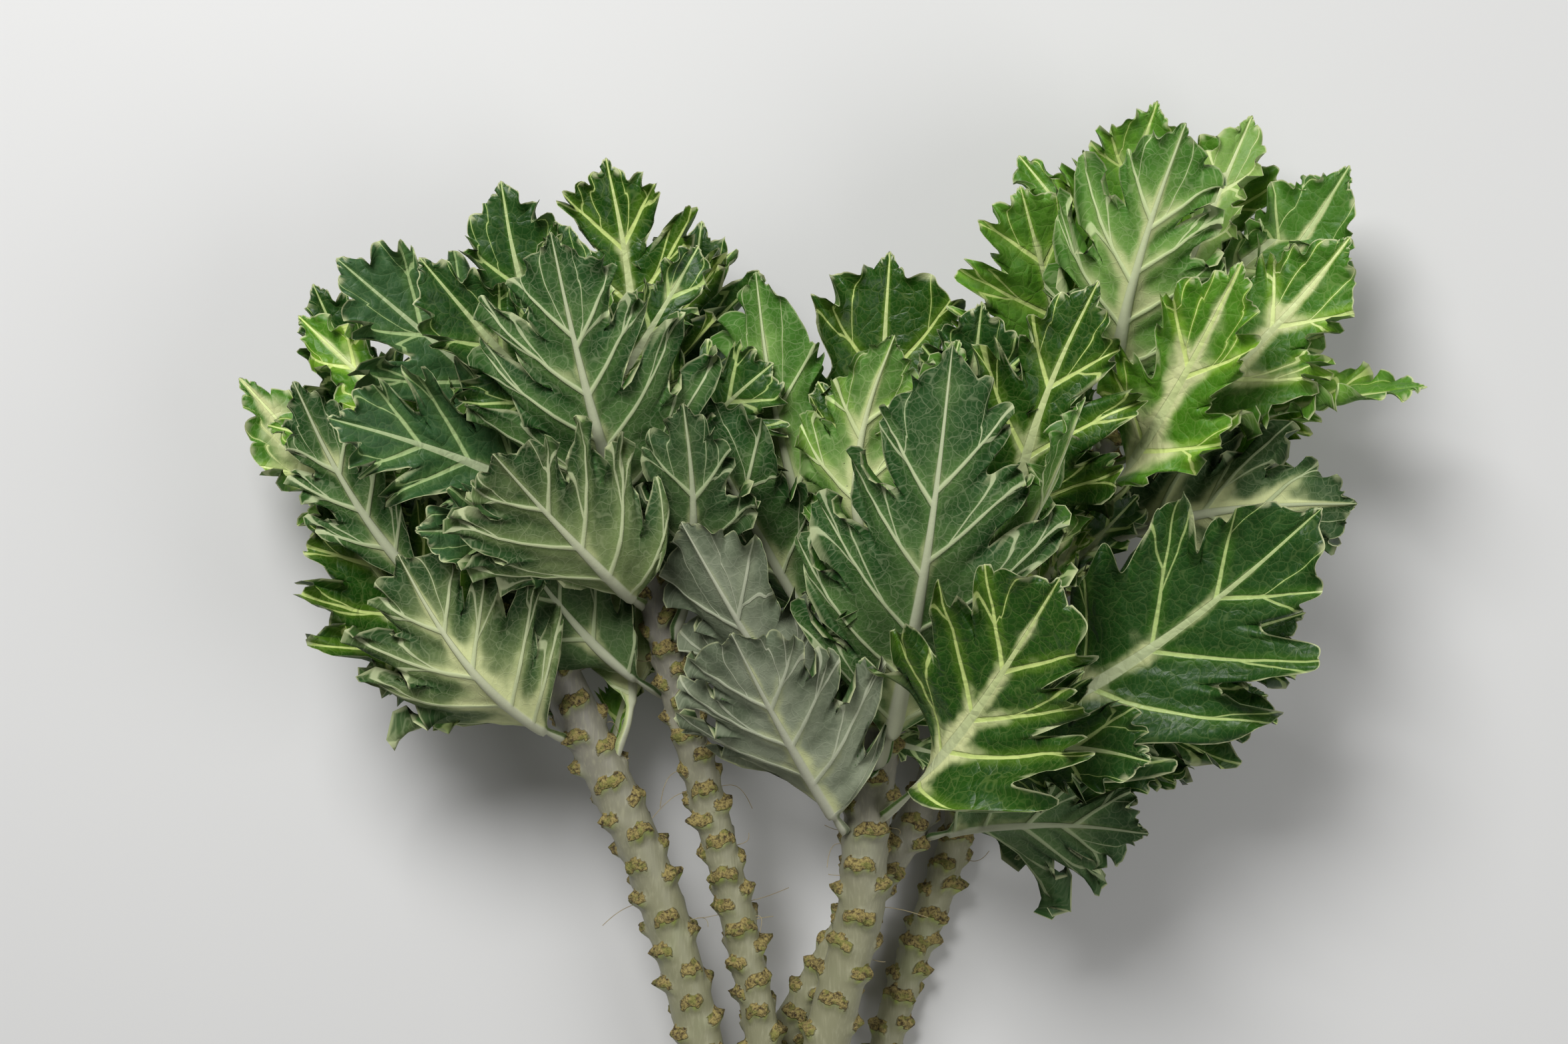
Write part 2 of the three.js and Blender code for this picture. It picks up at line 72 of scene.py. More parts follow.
camera_data = bpy.data.cameras.new("camera")
camera_data.sensor_width = SENSOR_WIDTH
camera_data.lens = SENSOR_WIDTH * VIEW_DISTANCE / VIEW_WIDTH
camera_data.clip_end = VIEW_DEPTH
camera = bpy.data.objects.new("camera", camera_data)
camera.location = (VIEW_SHIFT.x, VIEW_SHIFT.y, LEAF_HEIGHT + VIEW_DISTANCE)
bpy.context.scene.collection.objects.link(camera)
bpy.context.scene.camera = camera
print("the lens is", round(camera_data.lens, 1), "mm")

# %% [markdown]
# ## Nodes as arithmetic
#
# A material's masks are sums: how near is this point to a vein, how wide is the vein here. Blender
# does sums with one Math node each. Wrapping an output in a small class lets Python's own
# operators add those nodes, so that a mask can be read as a formula.

# %% Wrap the outputs of nodes
class Wire:
    """One number, colour or vector between two nodes of a material."""

    def __init__(self, tree, socket):
        self.tree = tree
        self.socket = socket

    def into(self, kind, settings, inputs):
        return Wire(self.tree, add_node(self.tree, kind, settings, inputs))

    def maths(self, operation, *numbers):
        return self.into("ShaderNodeMath", {"operation": operation}, numbers)

    def __add__(self, other):
        return self.maths("ADD", self, other)

    def __sub__(self, other):
        return self.maths("SUBTRACT", self, other)

    def __rsub__(self, other):
        return self.maths("SUBTRACT", other, self)

    def __mul__(self, other):
        return self.maths("MULTIPLY", self, other)

    def __truediv__(self, other):
        return self.maths("DIVIDE", self, other)

    def __rtruediv__(self, other):
        return self.maths("DIVIDE", other, self)

    def __abs__(self):
        return self.maths("ABSOLUTE", self)

    __radd__ = __add__
    __rmul__ = __mul__

    def at_least(self, other):
        return self.maths("MAXIMUM", self, other)

    def at_most(self, other):
        return self.maths("MINIMUM", self, other)

    def rise(self, start, end):
        """0 before start, 1 after end and smooth between. It falls if start is the larger."""
        inputs = {"Value": self, "From Min": start, "From Max": end}
        return self.into("ShaderNodeMapRange", {"interpolation_type": "SMOOTHSTEP"}, inputs)


def add_node(tree, kind, settings, inputs, output=0):
    """Adds a node, sets it up, fills its sockets by name or by order, and gives one output."""
    node = tree.nodes.new(kind)
    for name, value in settings.items():
        setattr(node, name, value)
    named = inputs.items() if isinstance(inputs, dict) else enumerate(inputs)
    for key, value in named:
        plug(tree, node.inputs[key], value)
    return node.outputs[output]


def plug(tree, socket, value):
    """Links a wire to a socket, or sets the socket to a plain value."""
    if isinstance(value, Wire):
        tree.links.new(value.socket, socket)
    else:
        socket.default_value = value


# %% [markdown]
# ## A finish in the making
#
# All finishes of the bunch need the same few things: numbers stored on a mesh, soft noise, cells
# with edges, mixed colours. Each is one node or two with its settings. They could be added by
# hand in the shader editor, but a method for each keeps a finish down to a page of formulas.

# %% Gather what every finish needs
BUMP_STRENGTH = 0.9
# A Mix node has sockets for numbers, for vectors and for colours. These are the ones for colours.
MIX_INPUTS = (6, 7)
MIX_OUTPUT = 2


class Finish:
    """A material being made. Its methods add nodes and give wires."""

    def __init__(self, name):
        self.material = bpy.data.materials.new(name)
        self.material.use_nodes = True
        self.tree = self.material.node_tree
        self.shader = self.tree.nodes["Principled BSDF"]

    def node(self, kind, settings, inputs, output=0):
        return Wire(self.tree, add_node(self.tree, kind, settings, inputs, output))

    def vector(self, name):
        """The vector stored under a name on the mesh."""
        return self.node("ShaderNodeAttribute", {"attribute_name": name}, {}, "Vector")

    def numbers(self, name):
        """The three numbers of a vector stored on the mesh."""
        first = add_node(self.tree, "ShaderNodeSeparateXYZ", {}, [self.vector(name)])
        return [Wire(self.tree, socket) for socket in first.node.outputs]

    def noise(self, vector, size, detail=2.0, roughness=0.5):
        """Soft noise around a half, with blotches of about the size given."""
        inputs = {"Vector": vector, "Scale": 1 / size, "Detail": detail, "Roughness": roughness}
        return self.node("ShaderNodeTexNoise", {}, inputs)

    def bent(self, vector, size):
        """The vector, bent by noise of about the size given, so that a pattern on it wanders."""
        inputs = {"Vector": vector, "Scale": 1 / size, "Detail": 1}
        colour = self.node("ShaderNodeTexNoise", {}, inputs, "Color")
        scaled = {"Vector": colour, "Scale": size}
        stray = self.node("ShaderNodeVectorMath", {"operation": "SCALE"}, scaled)
        return self.node("ShaderNodeVectorMath", {"operation": "ADD"}, [vector, stray])

    def cell_edges(self, vector, size):
        """The distance to the nearest edge between cells of about the size given."""
        inputs = {"Vector": vector, "Scale": 1 / size}
        return self.node("ShaderNodeTexVoronoi", {"feature": "DISTANCE_TO_EDGE"}, inputs) * size

    def mix(self, share, first, second):
        """The first colour where share is 0, and the second where it is 1."""
        inputs = {0: share}
        for socket, paint in zip(MIX_INPUTS, (first, second)):
            inputs[socket] = paint if isinstance(paint, Wire) else (*paint, 1)
        return self.node("ShaderNodeMix", {"data_type": "RGBA"}, inputs, MIX_OUTPUT)

    def bump(self, height, distance):
        """Normals that tilt as if the surface stood out by its height times the distance."""
        inputs = {"Strength": BUMP_STRENGTH, "Distance": distance, "Height": height}
        return self.node("ShaderNodeBump", {}, inputs, "Normal")

    def set(self, **sockets):
        """Sets or links sockets of the shader; an underscore in a name stands for a space."""
        for name, value in sockets.items():
            plug(self.tree, self.shader.inputs[name.replace("_", " ")], value)


print("wires know", ", ".join(name for name in vars(Wire) if not name.startswith("_")))

# %% [markdown]
# ## The leaves, one line each
#
# No two kale leaves look alike: the outer ones are large, dull and grey below, the inner ones
# are small, glossy and variegated. A short table keeps what differs. `laterals` is the number of
# large side veins on each side, and each ends in a lobe; `depth` is how far the edge runs in
# between two lobes; `teeth` is how many points a lobe has; `curl` is how much the edge is
# frilled; `stalk` is the share of the leaf that is bare stalk; `cream` is how far the pale
# middle reaches out into the blade. Leaves that can't be seen from above share one entry.

# %% List the leaves
Leaf = namedtuple("Leaf", "look laterals depth teeth curl stalk cream")
HIDDEN = Leaf("dark", 3, 0.29, 3, 0.51, 0.10, 0.06)  # at the back of a head, unseen from above
LEAVES = {
    "a01": Leaf("grey", 4, 0.36, 3, 0.55, 0.10, 0.40),
    "a02": Leaf("pale", 3, 0.23, 3, 0.83, 0.20, 0.56),
    "a03": Leaf("bright", 3, 0.26, 4, 0.83, 0.14, 0.15),
    "a04": Leaf("veined", 4, 0.26, 3, 0.6, 0.10, 0.25),
    "a05": Leaf("dark", 3, 0.40, 4, 0.93, 0.10, 0.09),
    "a06": Leaf("leafy", 3, 0.46, 4, 0.83, 0.42, 0.3),
    "a07": Leaf("cream", 3, 0.46, 4, 0.72, 0.10, 0.78),
    "a08": Leaf("dark", 4, 0.42, 3, 0.93, 0.12, 0.22),
    "a09": HIDDEN,
    "a10": HIDDEN,
    "b01": Leaf("dusky", 3, 0.29, 3, 0.83, 0.12, 0.06),
    "b02": Leaf("dusky", 3, 0.33, 3, 0.93, 0.14, 0.25),
    "b03": Leaf("grey", 4, 0.33, 3, 0.45, 0.10, 0.12),
    "b04": Leaf("blue", 3, 0.42, 3, 0.83, 0.10, 0.09),
    "b05": Leaf("blue", 5, 0.40, 3, 0.93, 0.10, 0.09),
    "b06": Leaf("leafy", 5, 0.45, 3, 0.5, 0.08, 0.19),
    "b07": Leaf("blue", 4, 0.46, 3, 0.72, 0.10, 0.12),
    "b08": Leaf("dark", 3, 0.40, 4, 0.93, 0.12, 0.19),
    "b09": Leaf("dark", 3, 0.40, 4, 1.03, 0.12, 0.22),
    "b10": Leaf("veined", 4, 0.46, 4, 0.62, 0.08, 0.15),
    "b11": Leaf("dark", 4, 0.46, 3, 0.72, 0.10, 0.12),
    "b12": Leaf("dark", 4, 0.46, 3, 0.72, 0.10, 0.12),
    "b13": HIDDEN,
    "b14": HIDDEN,
    "c01": Leaf("silver", 4, 0.30, 3, 0.35, 0.08, 0.28),
    "c02": Leaf("silver", 3, 0.29, 3, 0.60, 0.10, 0.22),
    "c03": Leaf("leafy", 3, 0.29, 3, 0.83, 0.12, 0.25),
    "c04": Leaf("dark", 3, 0.46, 4, 0.93, 0.10, 0.12),
    "c05": Leaf("fresh", 4, 0.36, 3, 0.83, 0.10, 0.20),
    "c06": Leaf("veined", 3, 0.46, 3, 0.72, 0.08, 0.15),
    "c07": Leaf("cream", 3, 0.29, 4, 0.83, 0.10, 0.45),
    "c08": Leaf("dark", 3, 0.33, 4, 0.83, 0.10, 0.28),
    "c09": Leaf("leafy", 5, 0.41, 3, 0.5, 0.08, 0.15),
    "c10": Leaf("veined", 4, 0.30, 2, 0.5, 0.20, 0.33),
    "c11": Leaf("fresh", 3, 0.26, 4, 0.62, 0.10, 0.4),
    "c12": HIDDEN,
    "d01": Leaf("dark", 4, 0.36, 2, 0.45, 0.08, 0.19),
    "d02": Leaf("dark", 4, 0.25, 3, 0.83, 0.10, 0.12),
    "d03": Leaf("dark", 3, 0.46, 4, 0.83, 0.10, 0.09),
    "d04": Leaf("dark", 3, 0.46, 4, 0.83, 0.10, 0.09),
    "d05": Leaf("dark", 3, 0.36, 4, 0.83, 0.10, 0.09),
    "d06": Leaf("dark", 3, 0.36, 4, 0.83, 0.10, 0.12),
    "d07": Leaf("veined", 4, 0.46, 3, 0.72, 0.08, 0.19),
    "d08": Leaf("blue", 4, 0.42, 3, 1.24, 0.10, 0.12),
    "d09": HIDDEN,
    "e01": Leaf("yellow", 3, 0.46, 4, 0.72, 0.10, 0.50),
    "e02": Leaf("yellow", 3, 0.46, 4, 0.83, 0.12, 0.52),
    "e03": Leaf("bright", 3, 0.29, 4, 0.83, 0.10, 0.30),
    "e04": Leaf("fresh", 5, 0.41, 3, 0.72, 0.08, 0.38),
    "e05": Leaf("bright", 3, 0.26, 4, 0.72, 0.08, 0.32),
    "e06": Leaf("bright", 4, 0.26, 3, 0.72, 0.08, 0.20),
    "e07": Leaf("bright", 3, 0.46, 4, 0.72, 0.08, 0.25),
    "e08": Leaf("fresh", 3, 0.46, 4, 0.83, 0.10, 0.42),
    "e09": Leaf("cream", 3, 0.33, 4, 0.83, 0.10, 0.50),
    "e10": Leaf("dusky", 4, 0.33, 3, 0.93, 0.10, 0.50),
}
print(len(LEAVES), "leaves in", len({leaf.look for leaf in LEAVES.values()}), "looks")

# %% [markdown]
# ## Finding the blade in a solid
#
# The CAD made each leaf as a loft: rings of nine corners, closed by a point at each end. The new
# mesh has to lie on the same surface, so the rings are found again from how the corners are
# joined. Only the two end points have nine edges. In the first ring, the corner with the fewest
# edges is on one margin, and on from there it is joined to a single corner of each next ring.
# Reading the joints is surer than comparing positions, because a curled blade has no plain left
# and right.

# %% Read the rings of a loft
LEAF_SIDES = 9
STEM_SIDES = 10
WELD = 1e-6
UPPER_POINTS = 5  # from margin to margin over the upper side; the lower side has four between


def open_loft(name, sides):
    """The welded mesh of a packed loft, and its rings of corners from one end to the other."""
    mesh = bmesh.new()
    mesh.from_mesh(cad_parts[name].data)
    bmesh.ops.remove_doubles(mesh, verts=mesh.verts, dist=WELD)
    end = next(corner for corner in mesh.verts if len(corner.link_edges) == sides)
    rings = [[end]]
    seen = {end}
    while rings[-1]:
        found = {other for corner in rings[-1] for other in neighbours(corner)} - seen
        seen |= found
        rings.append(list(found))
    # The first ring is one end, the last but one is the other, and the last is empty.
    return mesh, rings[1:-2]


def neighbours(corner):
    return [edge.other_vert(corner) for edge in corner.link_edges]


def walk(start, second, ring):
    """The corners of a ring in order, from one of them, by way of the second, and round."""
    order = [start, second]
    while len(order) < len(ring):
        order.append(next(c for c in neighbours(order[-1]) if c in ring and c is not order[-2]))
    return order


def blade_rows(name):
    """Nine rows of five points across the upper side of a leaf, from its foot to its tip."""
    mesh, rings = open_loft(name, LEAF_SIDES)
    margin = min(rings[0], key=lambda corner: len(corner.link_edges))
    far_margin = max(rings[0], key=lambda corner: len(corner.link_edges))
    both_ways = [walk(margin, second, rings[0]) for second in neighbours(margin) if second in rings[0]]
    order = next(way for way in both_ways if way[UPPER_POINTS - 1] is far_margin)
    orders = [order]
    for ring in rings[1:]:
        margin = next(corner for corner in neighbours(order[0]) if corner in ring)
        second = next(c for c in neighbours(margin) if c in ring and c in neighbours(order[1]))
        order = walk(margin, second, ring)
        orders.append(order)
    points = np.array([[corner.co / MM for corner in order] for order in orders])
    mesh.free()
    # The upper side's middle corner is the third, and the lower side's middle two are the
    # seventh and the eighth. The solid is thicker at its foot than at its tip.
    depths = np.linalg.norm(points[:, 2] - points[:, 6:8].mean(axis=1), axis=1)
    rows = points[::2, :UPPER_POINTS]
    starts_at_foot = depths[0] > depths[-1]
    return rows[:, ::-1] if starts_at_foot else rows[::-1]


def distances_along(line):
    """How far each point of a line is from its start, measured along the line."""
    return np.concatenate([[0], np.cumsum(np.linalg.norm(np.diff(line, axis=0), axis=1))])


blades = {name: blade_rows(name) for name in leaf_nodes}
lengths = [distances_along(rows[:, 2])[-1] for rows in blades.values()]
print("leaves are", round(min(lengths)), "to", round(max(lengths)), "mm long")

# %% [markdown]
# ## A smooth sheet through a few points
#
# Nine rows of five points are enough to say how a leaf bends, and a Catmull-Rom surface passes
# through all of them. A subdivision surface would be as smooth, but it would pull the margin in
# and give no easy way to ask for the point at a chosen place.

# %% Curves and surfaces through points
def spline_weights(part):
    """How much each of four points in a row counts, part of the way between the middle two."""
    return np.stack(
        [
            -0.5 * part**3 + part**2 - 0.5 * part,
            1.5 * part**3 - 2.5 * part**2 + 1,
            -1.5 * part**3 + 2 * part**2 + 0.5 * part,
            0.5 * part**3 - 0.5 * part**2,
        ],
        axis=-1,
    )


def with_ghosts(points):
    """The rows of a grid with two more at each end, going straight on."""
    first = points[0] - points[1]
    last = points[-1] - points[-2]
    before = [points[0] + 2 * first, points[0] + first]
    after = [points[-1] + last, points[-1] + 2 * last]
    return np.concatenate([before, points, after])


def steps_and_parts(places, count):
    """The point before each place on a line of so many points, and how far past it that is."""
    steps = np.clip(np.floor(places), -1, count - 1).astype(int)
    return steps, np.clip(places - steps, -1, 2)


def sheet_points(rows, along, across):
    """Points of the smooth sheet, where along counts rows and across counts columns."""
    grid = with_ghosts(rows)
    grid = with_ghosts(grid.swapaxes(0, 1)).swapaxes(0, 1)
    row, row_part = steps_and_parts(along, len(rows))
    column, column_part = steps_and_parts(across, len(rows[0]))
    row_weights = spline_weights(row_part)
    column_weights = spline_weights(column_part)
    points = np.zeros((*along.shape, 3))
    for i in range(4):
        for j in range(4):
            weight = row_weights[..., i] * column_weights[..., j]
            points += weight[..., None] * grid[row + 1 + i, column + 1 + j]
    return points


def line_points(points, places):
    """Points of a smooth line through a row of points."""
    grid = with_ghosts(points)
    step, part = steps_and_parts(places, len(points))
    weights = spline_weights(part)
    return sum(weights[..., i, None] * grid[step + 1 + i] for i in range(4))


def smoothstep(value, start, end):
    share = np.clip((value - start) / (end - start), 0, 1)
    return share * share * (3 - 2 * share)


def band(value, start, full, fading, end):
    """0 before start, 1 from full to where it starts fading, and 0 again after the end."""
    return smoothstep(value, start, full) * (1 - smoothstep(value, fading, end))


def unit(vectors):
    return vectors / np.maximum(np.linalg.norm(vectors, axis=-1, keepdims=True), 1e-9)


midrib = blades[leaf_nodes[0]][:, 2]
miss = np.abs(line_points(midrib, np.arange(len(midrib))) - midrib).max()
print("a smooth line misses its own points by", round(miss, 6), "mm")

# %% [markdown]
# ## The outline of a leaf
#
# A kale leaf is built round its veins. A few strong side veins leave the midrib low down and fan
# forward, and each one runs to the middle of a lobe. So the mesh is laid out like the leaf: its
# rows leave the midrib at the angle of the veins, steep at the base and slanting forward near
# the tip. A row on a vein is long, a row between two veins is short, and small steps in length
# are the teeth. A square grid trimmed to an outline would cut across the veins and need far more
# faces for the same edge.

# %% Measure the rows
BASE_ANGLE = math.radians(64)  # between the midrib and the lowest side veins
TIP_ANGLE = math.radians(28)
ANGLE_CHANGE = 0.8  # below 1, the angle changes faster near the foot than near the tip
VEIN_BEND = 0.0016  # how much a side vein bends forward, per square millimetre
WIDENING = 1.18  # of the blade, past the margin of its solid, before it is notched
PROBES = 140  # places along each row where the margin is looked for
PROBE_REACH = 1.1  # how far they go, in lengths of the leaf


def vein_angle(share):
    """The angle between the midrib and a row that starts at some share of its length."""
    return BASE_ANGLE + (TIP_ANGLE - BASE_ANGLE) * np.clip(share, 0, 1) ** ANGLE_CHANGE


def row_points(share, length, run):
    """Where on the flat leaf the rows from some shares of the midrib come after some run."""
    angle = vein_angle(share)[:, None]
    x = run * np.sin(angle)
    y = share[:, None] * length + run * np.cos(angle) + VEIN_BEND * run**2
    return x, y


def full_runs(share, length, stops, margin):
    """How far each row can run. The margin is given by the half widths at some stops."""
    run = np.linspace(0, PROBE_REACH * length, PROBES)
    x, y = row_points(share, length, run)
    room = WIDENING * np.interp(y, stops, margin) - x
    outside = np.argmin(room > 0, axis=1)
    inside = np.maximum(outside - 1, 0)
    rows = np.arange(len(share))
    crossing = room[rows, inside] / np.maximum(room[rows, inside] - room[rows, outside], 1e-6)
    return run[inside] + np.clip(crossing, 0, 1) * (run[1] - run[0])


angles = [round(math.degrees(vein_angle(share))) for share in (0, 0.5, 1)]
print("rows leave the foot, middle and tip of a midrib at", angles, "degrees")

# %% [markdown]
# ## Lobes and teeth
#
# Between two side veins the edge of the blade runs in, and the lobe round each vein ends in a
# few teeth. A phase counts the side veins along the midrib: it is a whole number on each vein
# and half a number more between two of them. A power of its sine gives the notches, a quicker
# wave gives the teeth, and both only shorten rows. Cutting notches out of a finished sheet would
# leave ragged faces, and would not say which tooth belongs to which vein.

# %% Cut the lobes and the teeth
BLADE_START = 0.7  # of the stalk's length; a narrow blade starts just before the stalk ends
FIRST_SPACE = 0.25  # from the stalk to the first side veins, in spaces between them
LAST_VEIN = 0.83  # where on the midrib the last side veins start
LAST_NOTCH = 0.91
VEIN_CROWDING = 1.15  # above 1, side veins start closer together near the foot
VEIN_SHIFT = 0.12  # how far the veins of one side may shift together, in spaces between them
VEIN_STRAY = 0.022  # how far each may stray by itself, as a share of the midrib
NOTCH_SHARPNESS = 2.6
NOTCH_DEPTHS = (0.75, 1.4)  # times the depth in the leaf's line
NOTCH_FADE = 0.3  # how much shallower the notches near the tip are
NOTCH_FADING = (0.7, 0.9)  # where on the midrib they get shallower
LOBE_LENGTHS = (0.82, 1.06)
TOOTH_DEPTH = 3.8
TOOTH_DEPTHS = (0.3, 1.4)  # times that depth
TOOTH_LEAN = 1.5  # above 1, a tooth's point leans towards the tip of the leaf
TOOTH_PEAK = 0.63  # of the way from one tooth's start to the next
TOOTH_BLUNTNESS = 0.7  # below 1, teeth have blunt points and narrow gaps
TOOTH_STRAY = 0.4  # how far their count runs ahead or behind, in teeth
STRAY_WAVE = 4.1  # how far it goes through that from one side vein to the next, in radians
TOOTH_ROOM = 28  # rows shorter than this have smaller teeth
MOST_TEETH = 60


def vein_phases(share, leaf, rng):
    """Where on the midrib the side veins start, and the phase of each row."""
    shift = rng.uniform(-VEIN_SHIFT, VEIN_SHIFT)
    spread = (np.arange(leaf.laterals) + FIRST_SPACE + shift) / leaf.laterals
    veins = leaf.stalk + (LAST_VEIN - leaf.stalk) * spread**VEIN_CROWDING
    veins += rng.uniform(-VEIN_STRAY, VEIN_STRAY, leaf.laterals)
    stops = [-1, leaf.stalk * BLADE_START, *veins, LAST_NOTCH, 1]
    phases = [-0.5, -0.5, *range(leaf.laterals), leaf.laterals - 0.5, leaf.laterals]
    return veins, np.interp(share, stops, phases)


def cut_margin(share, phase, full, leaf, rng):
    """The rows' runs with notches and teeth, how near each is to a tooth's point, and the phases
    of those points."""
    notch = np.sin(np.pi * phase) ** 2 * (1 - NOTCH_FADE * smoothstep(share, *NOTCH_FADING))
    notch_depths = leaf.depth * rng.uniform(*NOTCH_DEPTHS, leaf.laterals + 2)
    lobe_lengths = rng.uniform(*LOBE_LENGTHS, leaf.laterals + 2)
    run = full * (1 - notch_depths[np.floor(phase).astype(int) + 1] * notch**NOTCH_SHARPNESS)
    run *= np.interp(phase, np.arange(-1, leaf.laterals + 1), lobe_lengths)
    stray = TOOTH_STRAY * np.sin(STRAY_WAVE * phase + rng.uniform(0, 6))
    count = leaf.teeth * (phase + 1) + TOOTH_PEAK + stray
    tooth = np.sin(np.pi * (count % 1) ** TOOTH_LEAN) ** TOOTH_BLUNTNESS
    tooth_depths = rng.uniform(*TOOTH_DEPTHS, MOST_TEETH)[np.floor(count).astype(int)]
    run -= TOOTH_DEPTH * tooth_depths * np.minimum(1, full / TOOTH_ROOM) * (1 - tooth)
    tips = np.interp(np.arange(MOST_TEETH) + TOOTH_PEAK, count, phase)
    return run, tooth, tips


print("a lobe has", sorted({leaf.teeth for leaf in LEAVES.values()}), "teeth")

# %% [markdown]
# ## Forks
#
# A side vein forks before it reaches the edge, and each fork ends in a tooth of its own lobe.
# They don't need points of their own: it is enough to store how far each point of the mesh is
# from three lines, which leave the nearest side vein and bend off to a tooth. Distances to the
# veins change sign from each vein to the next, because only then do they run on without a jump
# halfway between two veins, and a jump would be drawn as one more vein.

# %% Fork the side veins
FORKS = 3
FORK_BEND = 0.8
FORK_LIMITS = (0.1, 0.47)  # how far from a side vein's own tooth its forks may end, in phases
FORK_START = 0.95  # the share of a row where a fork to a very near tooth would start
FORK_SPREAD = 1.6  # how much earlier one starts for each phase that its tooth is away
FORK_STRAY = 0.12
FORK_STARTS = (0.12, 0.85)  # the shares of a row between which all forks start


def alternate(numbers):
    """1 for even and -1 for odd numbers, as a column."""
    return (1 - 2 * (numbers % 2))[:, None]


def lay_forks(phase, reach, stretch, tips, leaf, rng):
    """The distances to three forks of the nearest side vein: two lean forward and one back."""
    nearest = np.clip(np.round(phase), 0, leaf.laterals - 1).astype(int)
    ends = np.zeros((FORKS, leaf.laterals))
    for lateral in range(leaf.laterals):
        offsets = tips - lateral
        usable = (np.abs(offsets) > FORK_LIMITS[0]) & (np.abs(offsets) < FORK_LIMITS[1])
        forward = sorted(offsets[usable & (offsets > 0)])[:2]
        back = sorted(offsets[usable & (offsets < 0)])[-1:]
        ends[: len(forward), lateral] = forward
        ends[2:, lateral] = back if back else 0
    strays = rng.uniform(-FORK_STRAY, FORK_STRAY, ends.shape)
    starts = np.clip(FORK_START - FORK_SPREAD * np.abs(ends) + strays, *FORK_STARTS)
    distances = {}
    for number in range(FORKS):
        start = starts[number, nearest][:, None]
        past = np.clip((reach - start) / (1 - start), 0, 1)
        line = nearest[:, None] + ends[number, nearest][:, None] * past**FORK_BEND
        distances[f"fork {number}"] = (phase[:, None] - line) * stretch * alternate(np.round(phase))
    return distances


# %% [markdown]
# ## From the midrib to the margin
#
# The midrib is a thick, pale ridge that thins towards the tip, and the stalk is the same ridge
# without a blade. Each row starts on it with a few close steps for its round shape and goes on
# over the blade in steps that get shorter towards the margin, where the frills will be. The
# distances to veins and edge are worked out here too, while the leaf is flat and they are easy.

# %% Lay out one side of a leaf
LARGE_LEAF = 130  # the length of a leaf whose midrib and bulges have their full size
STALK_HALF_WIDTH = 4.4
STALK_TAPER = 0.4
BLADE_FULL = 1.3  # of the stalk's length; from here on rows have their full run
RIB_HALF_WIDTH = 4.0
RIB_SCALES = (0.45, 1.15)  # how much of that the smallest and the largest leaves have
RIB_TAPER = 1.5
RIB_END = 0.45
RIB_ROOM = 0.6  # the most of a row that the midrib may take up
RIB_STEPS = (0.45, 0.85, 1.2)  # columns over the midrib, in half widths of it
LEAST_RUN = 0.4
MARGIN_CROWDING = 0.75  # below 1, the columns of the mesh lie closer together near the margin


def lay_side(share, length, full, leaf, rng, steps):
    """One side of the flat leaf: a row of points for each share of the midrib, from it outward."""
    angle = vein_angle(share)
    veins, phase = vein_phases(share, leaf, rng)
    last_run, tooth, tips = cut_margin(share, phase, full, leaf, rng)
    taper = 1 - STALK_TAPER * smoothstep(share, 0, leaf.stalk)
    stalk = np.minimum(full, STALK_HALF_WIDTH * taper / np.sin(angle))
    blade = smoothstep(share, BLADE_START * leaf.stalk, BLADE_FULL * leaf.stalk + 0.02)
    last_run = np.maximum(stalk + (last_run - stalk) * blade, LEAST_RUN)

    scale = np.clip(length / LARGE_LEAF, *RIB_SCALES)
    rib = scale * RIB_HALF_WIDTH * np.clip(1 - share, 0, 1) ** RIB_TAPER + RIB_END
    rib = np.minimum(rib, RIB_ROOM * last_run * np.sin(angle))
    over_rib = (rib / np.sin(angle))[:, None] * np.array([0, *RIB_STEPS])
    outward = np.linspace(0, 1, steps + 1)[1:] ** MARGIN_CROWDING
    over_blade = over_rib[:, -1:] + (last_run[:, None] - over_rib[:, -1:]) * outward
    run = np.concatenate([over_rib, over_blade], axis=1)
    x, y = row_points(share, length, run)

    step = share[1] - share[0]
    spacing = length * np.sin(angle)[:, None] - run * np.gradient(angle, step)[:, None]
    nearest = np.argmin(np.abs(share[:, None] - veins), axis=1)
    slope = np.gradient(last_run, step) / spacing[:, -1]
    stretch = spacing / np.maximum(np.gradient(phase, step), 1)[:, None]
    reach = run / last_run[:, None]
    whole_row = np.ones_like(run)
    # Places and distances are in millimetres, except that reach counts in whole rows, rib in half
    # widths of the midrib, and tooth and blade go from 0 to 1.
    return {
        "x": x,
        "y": y,
        "run": run,
        "reach": reach,
        "rib": x / rib[:, None],
        "rib width": rib[:, None] * whole_row,
        "vein": (share - veins[nearest])[:, None] * spacing * alternate(nearest),
        "edge": (last_run[:, None] - run) / np.sqrt(1 + slope**2)[:, None],
        "tooth": (tooth * blade**2)[:, None] * whole_row,
        "phase": phase[:, None] * whole_row,
        "blade": blade[:, None] * whole_row,
        **lay_forks(phase, reach, stretch, tips, leaf, rng),
    }


# %% Lay out both sides
FOOT_DEPTH = 9  # how far the stalk runs on into the stem
TIP_SHARE = 0.4  # how far the leaf runs past its last row of points, in row spacings
TIP_BLUNTNESS = 0.82  # its width halfway along that last part, as a share of the last row's
LAST_ROW = 0.995  # just short of the tip, where a row would have no length


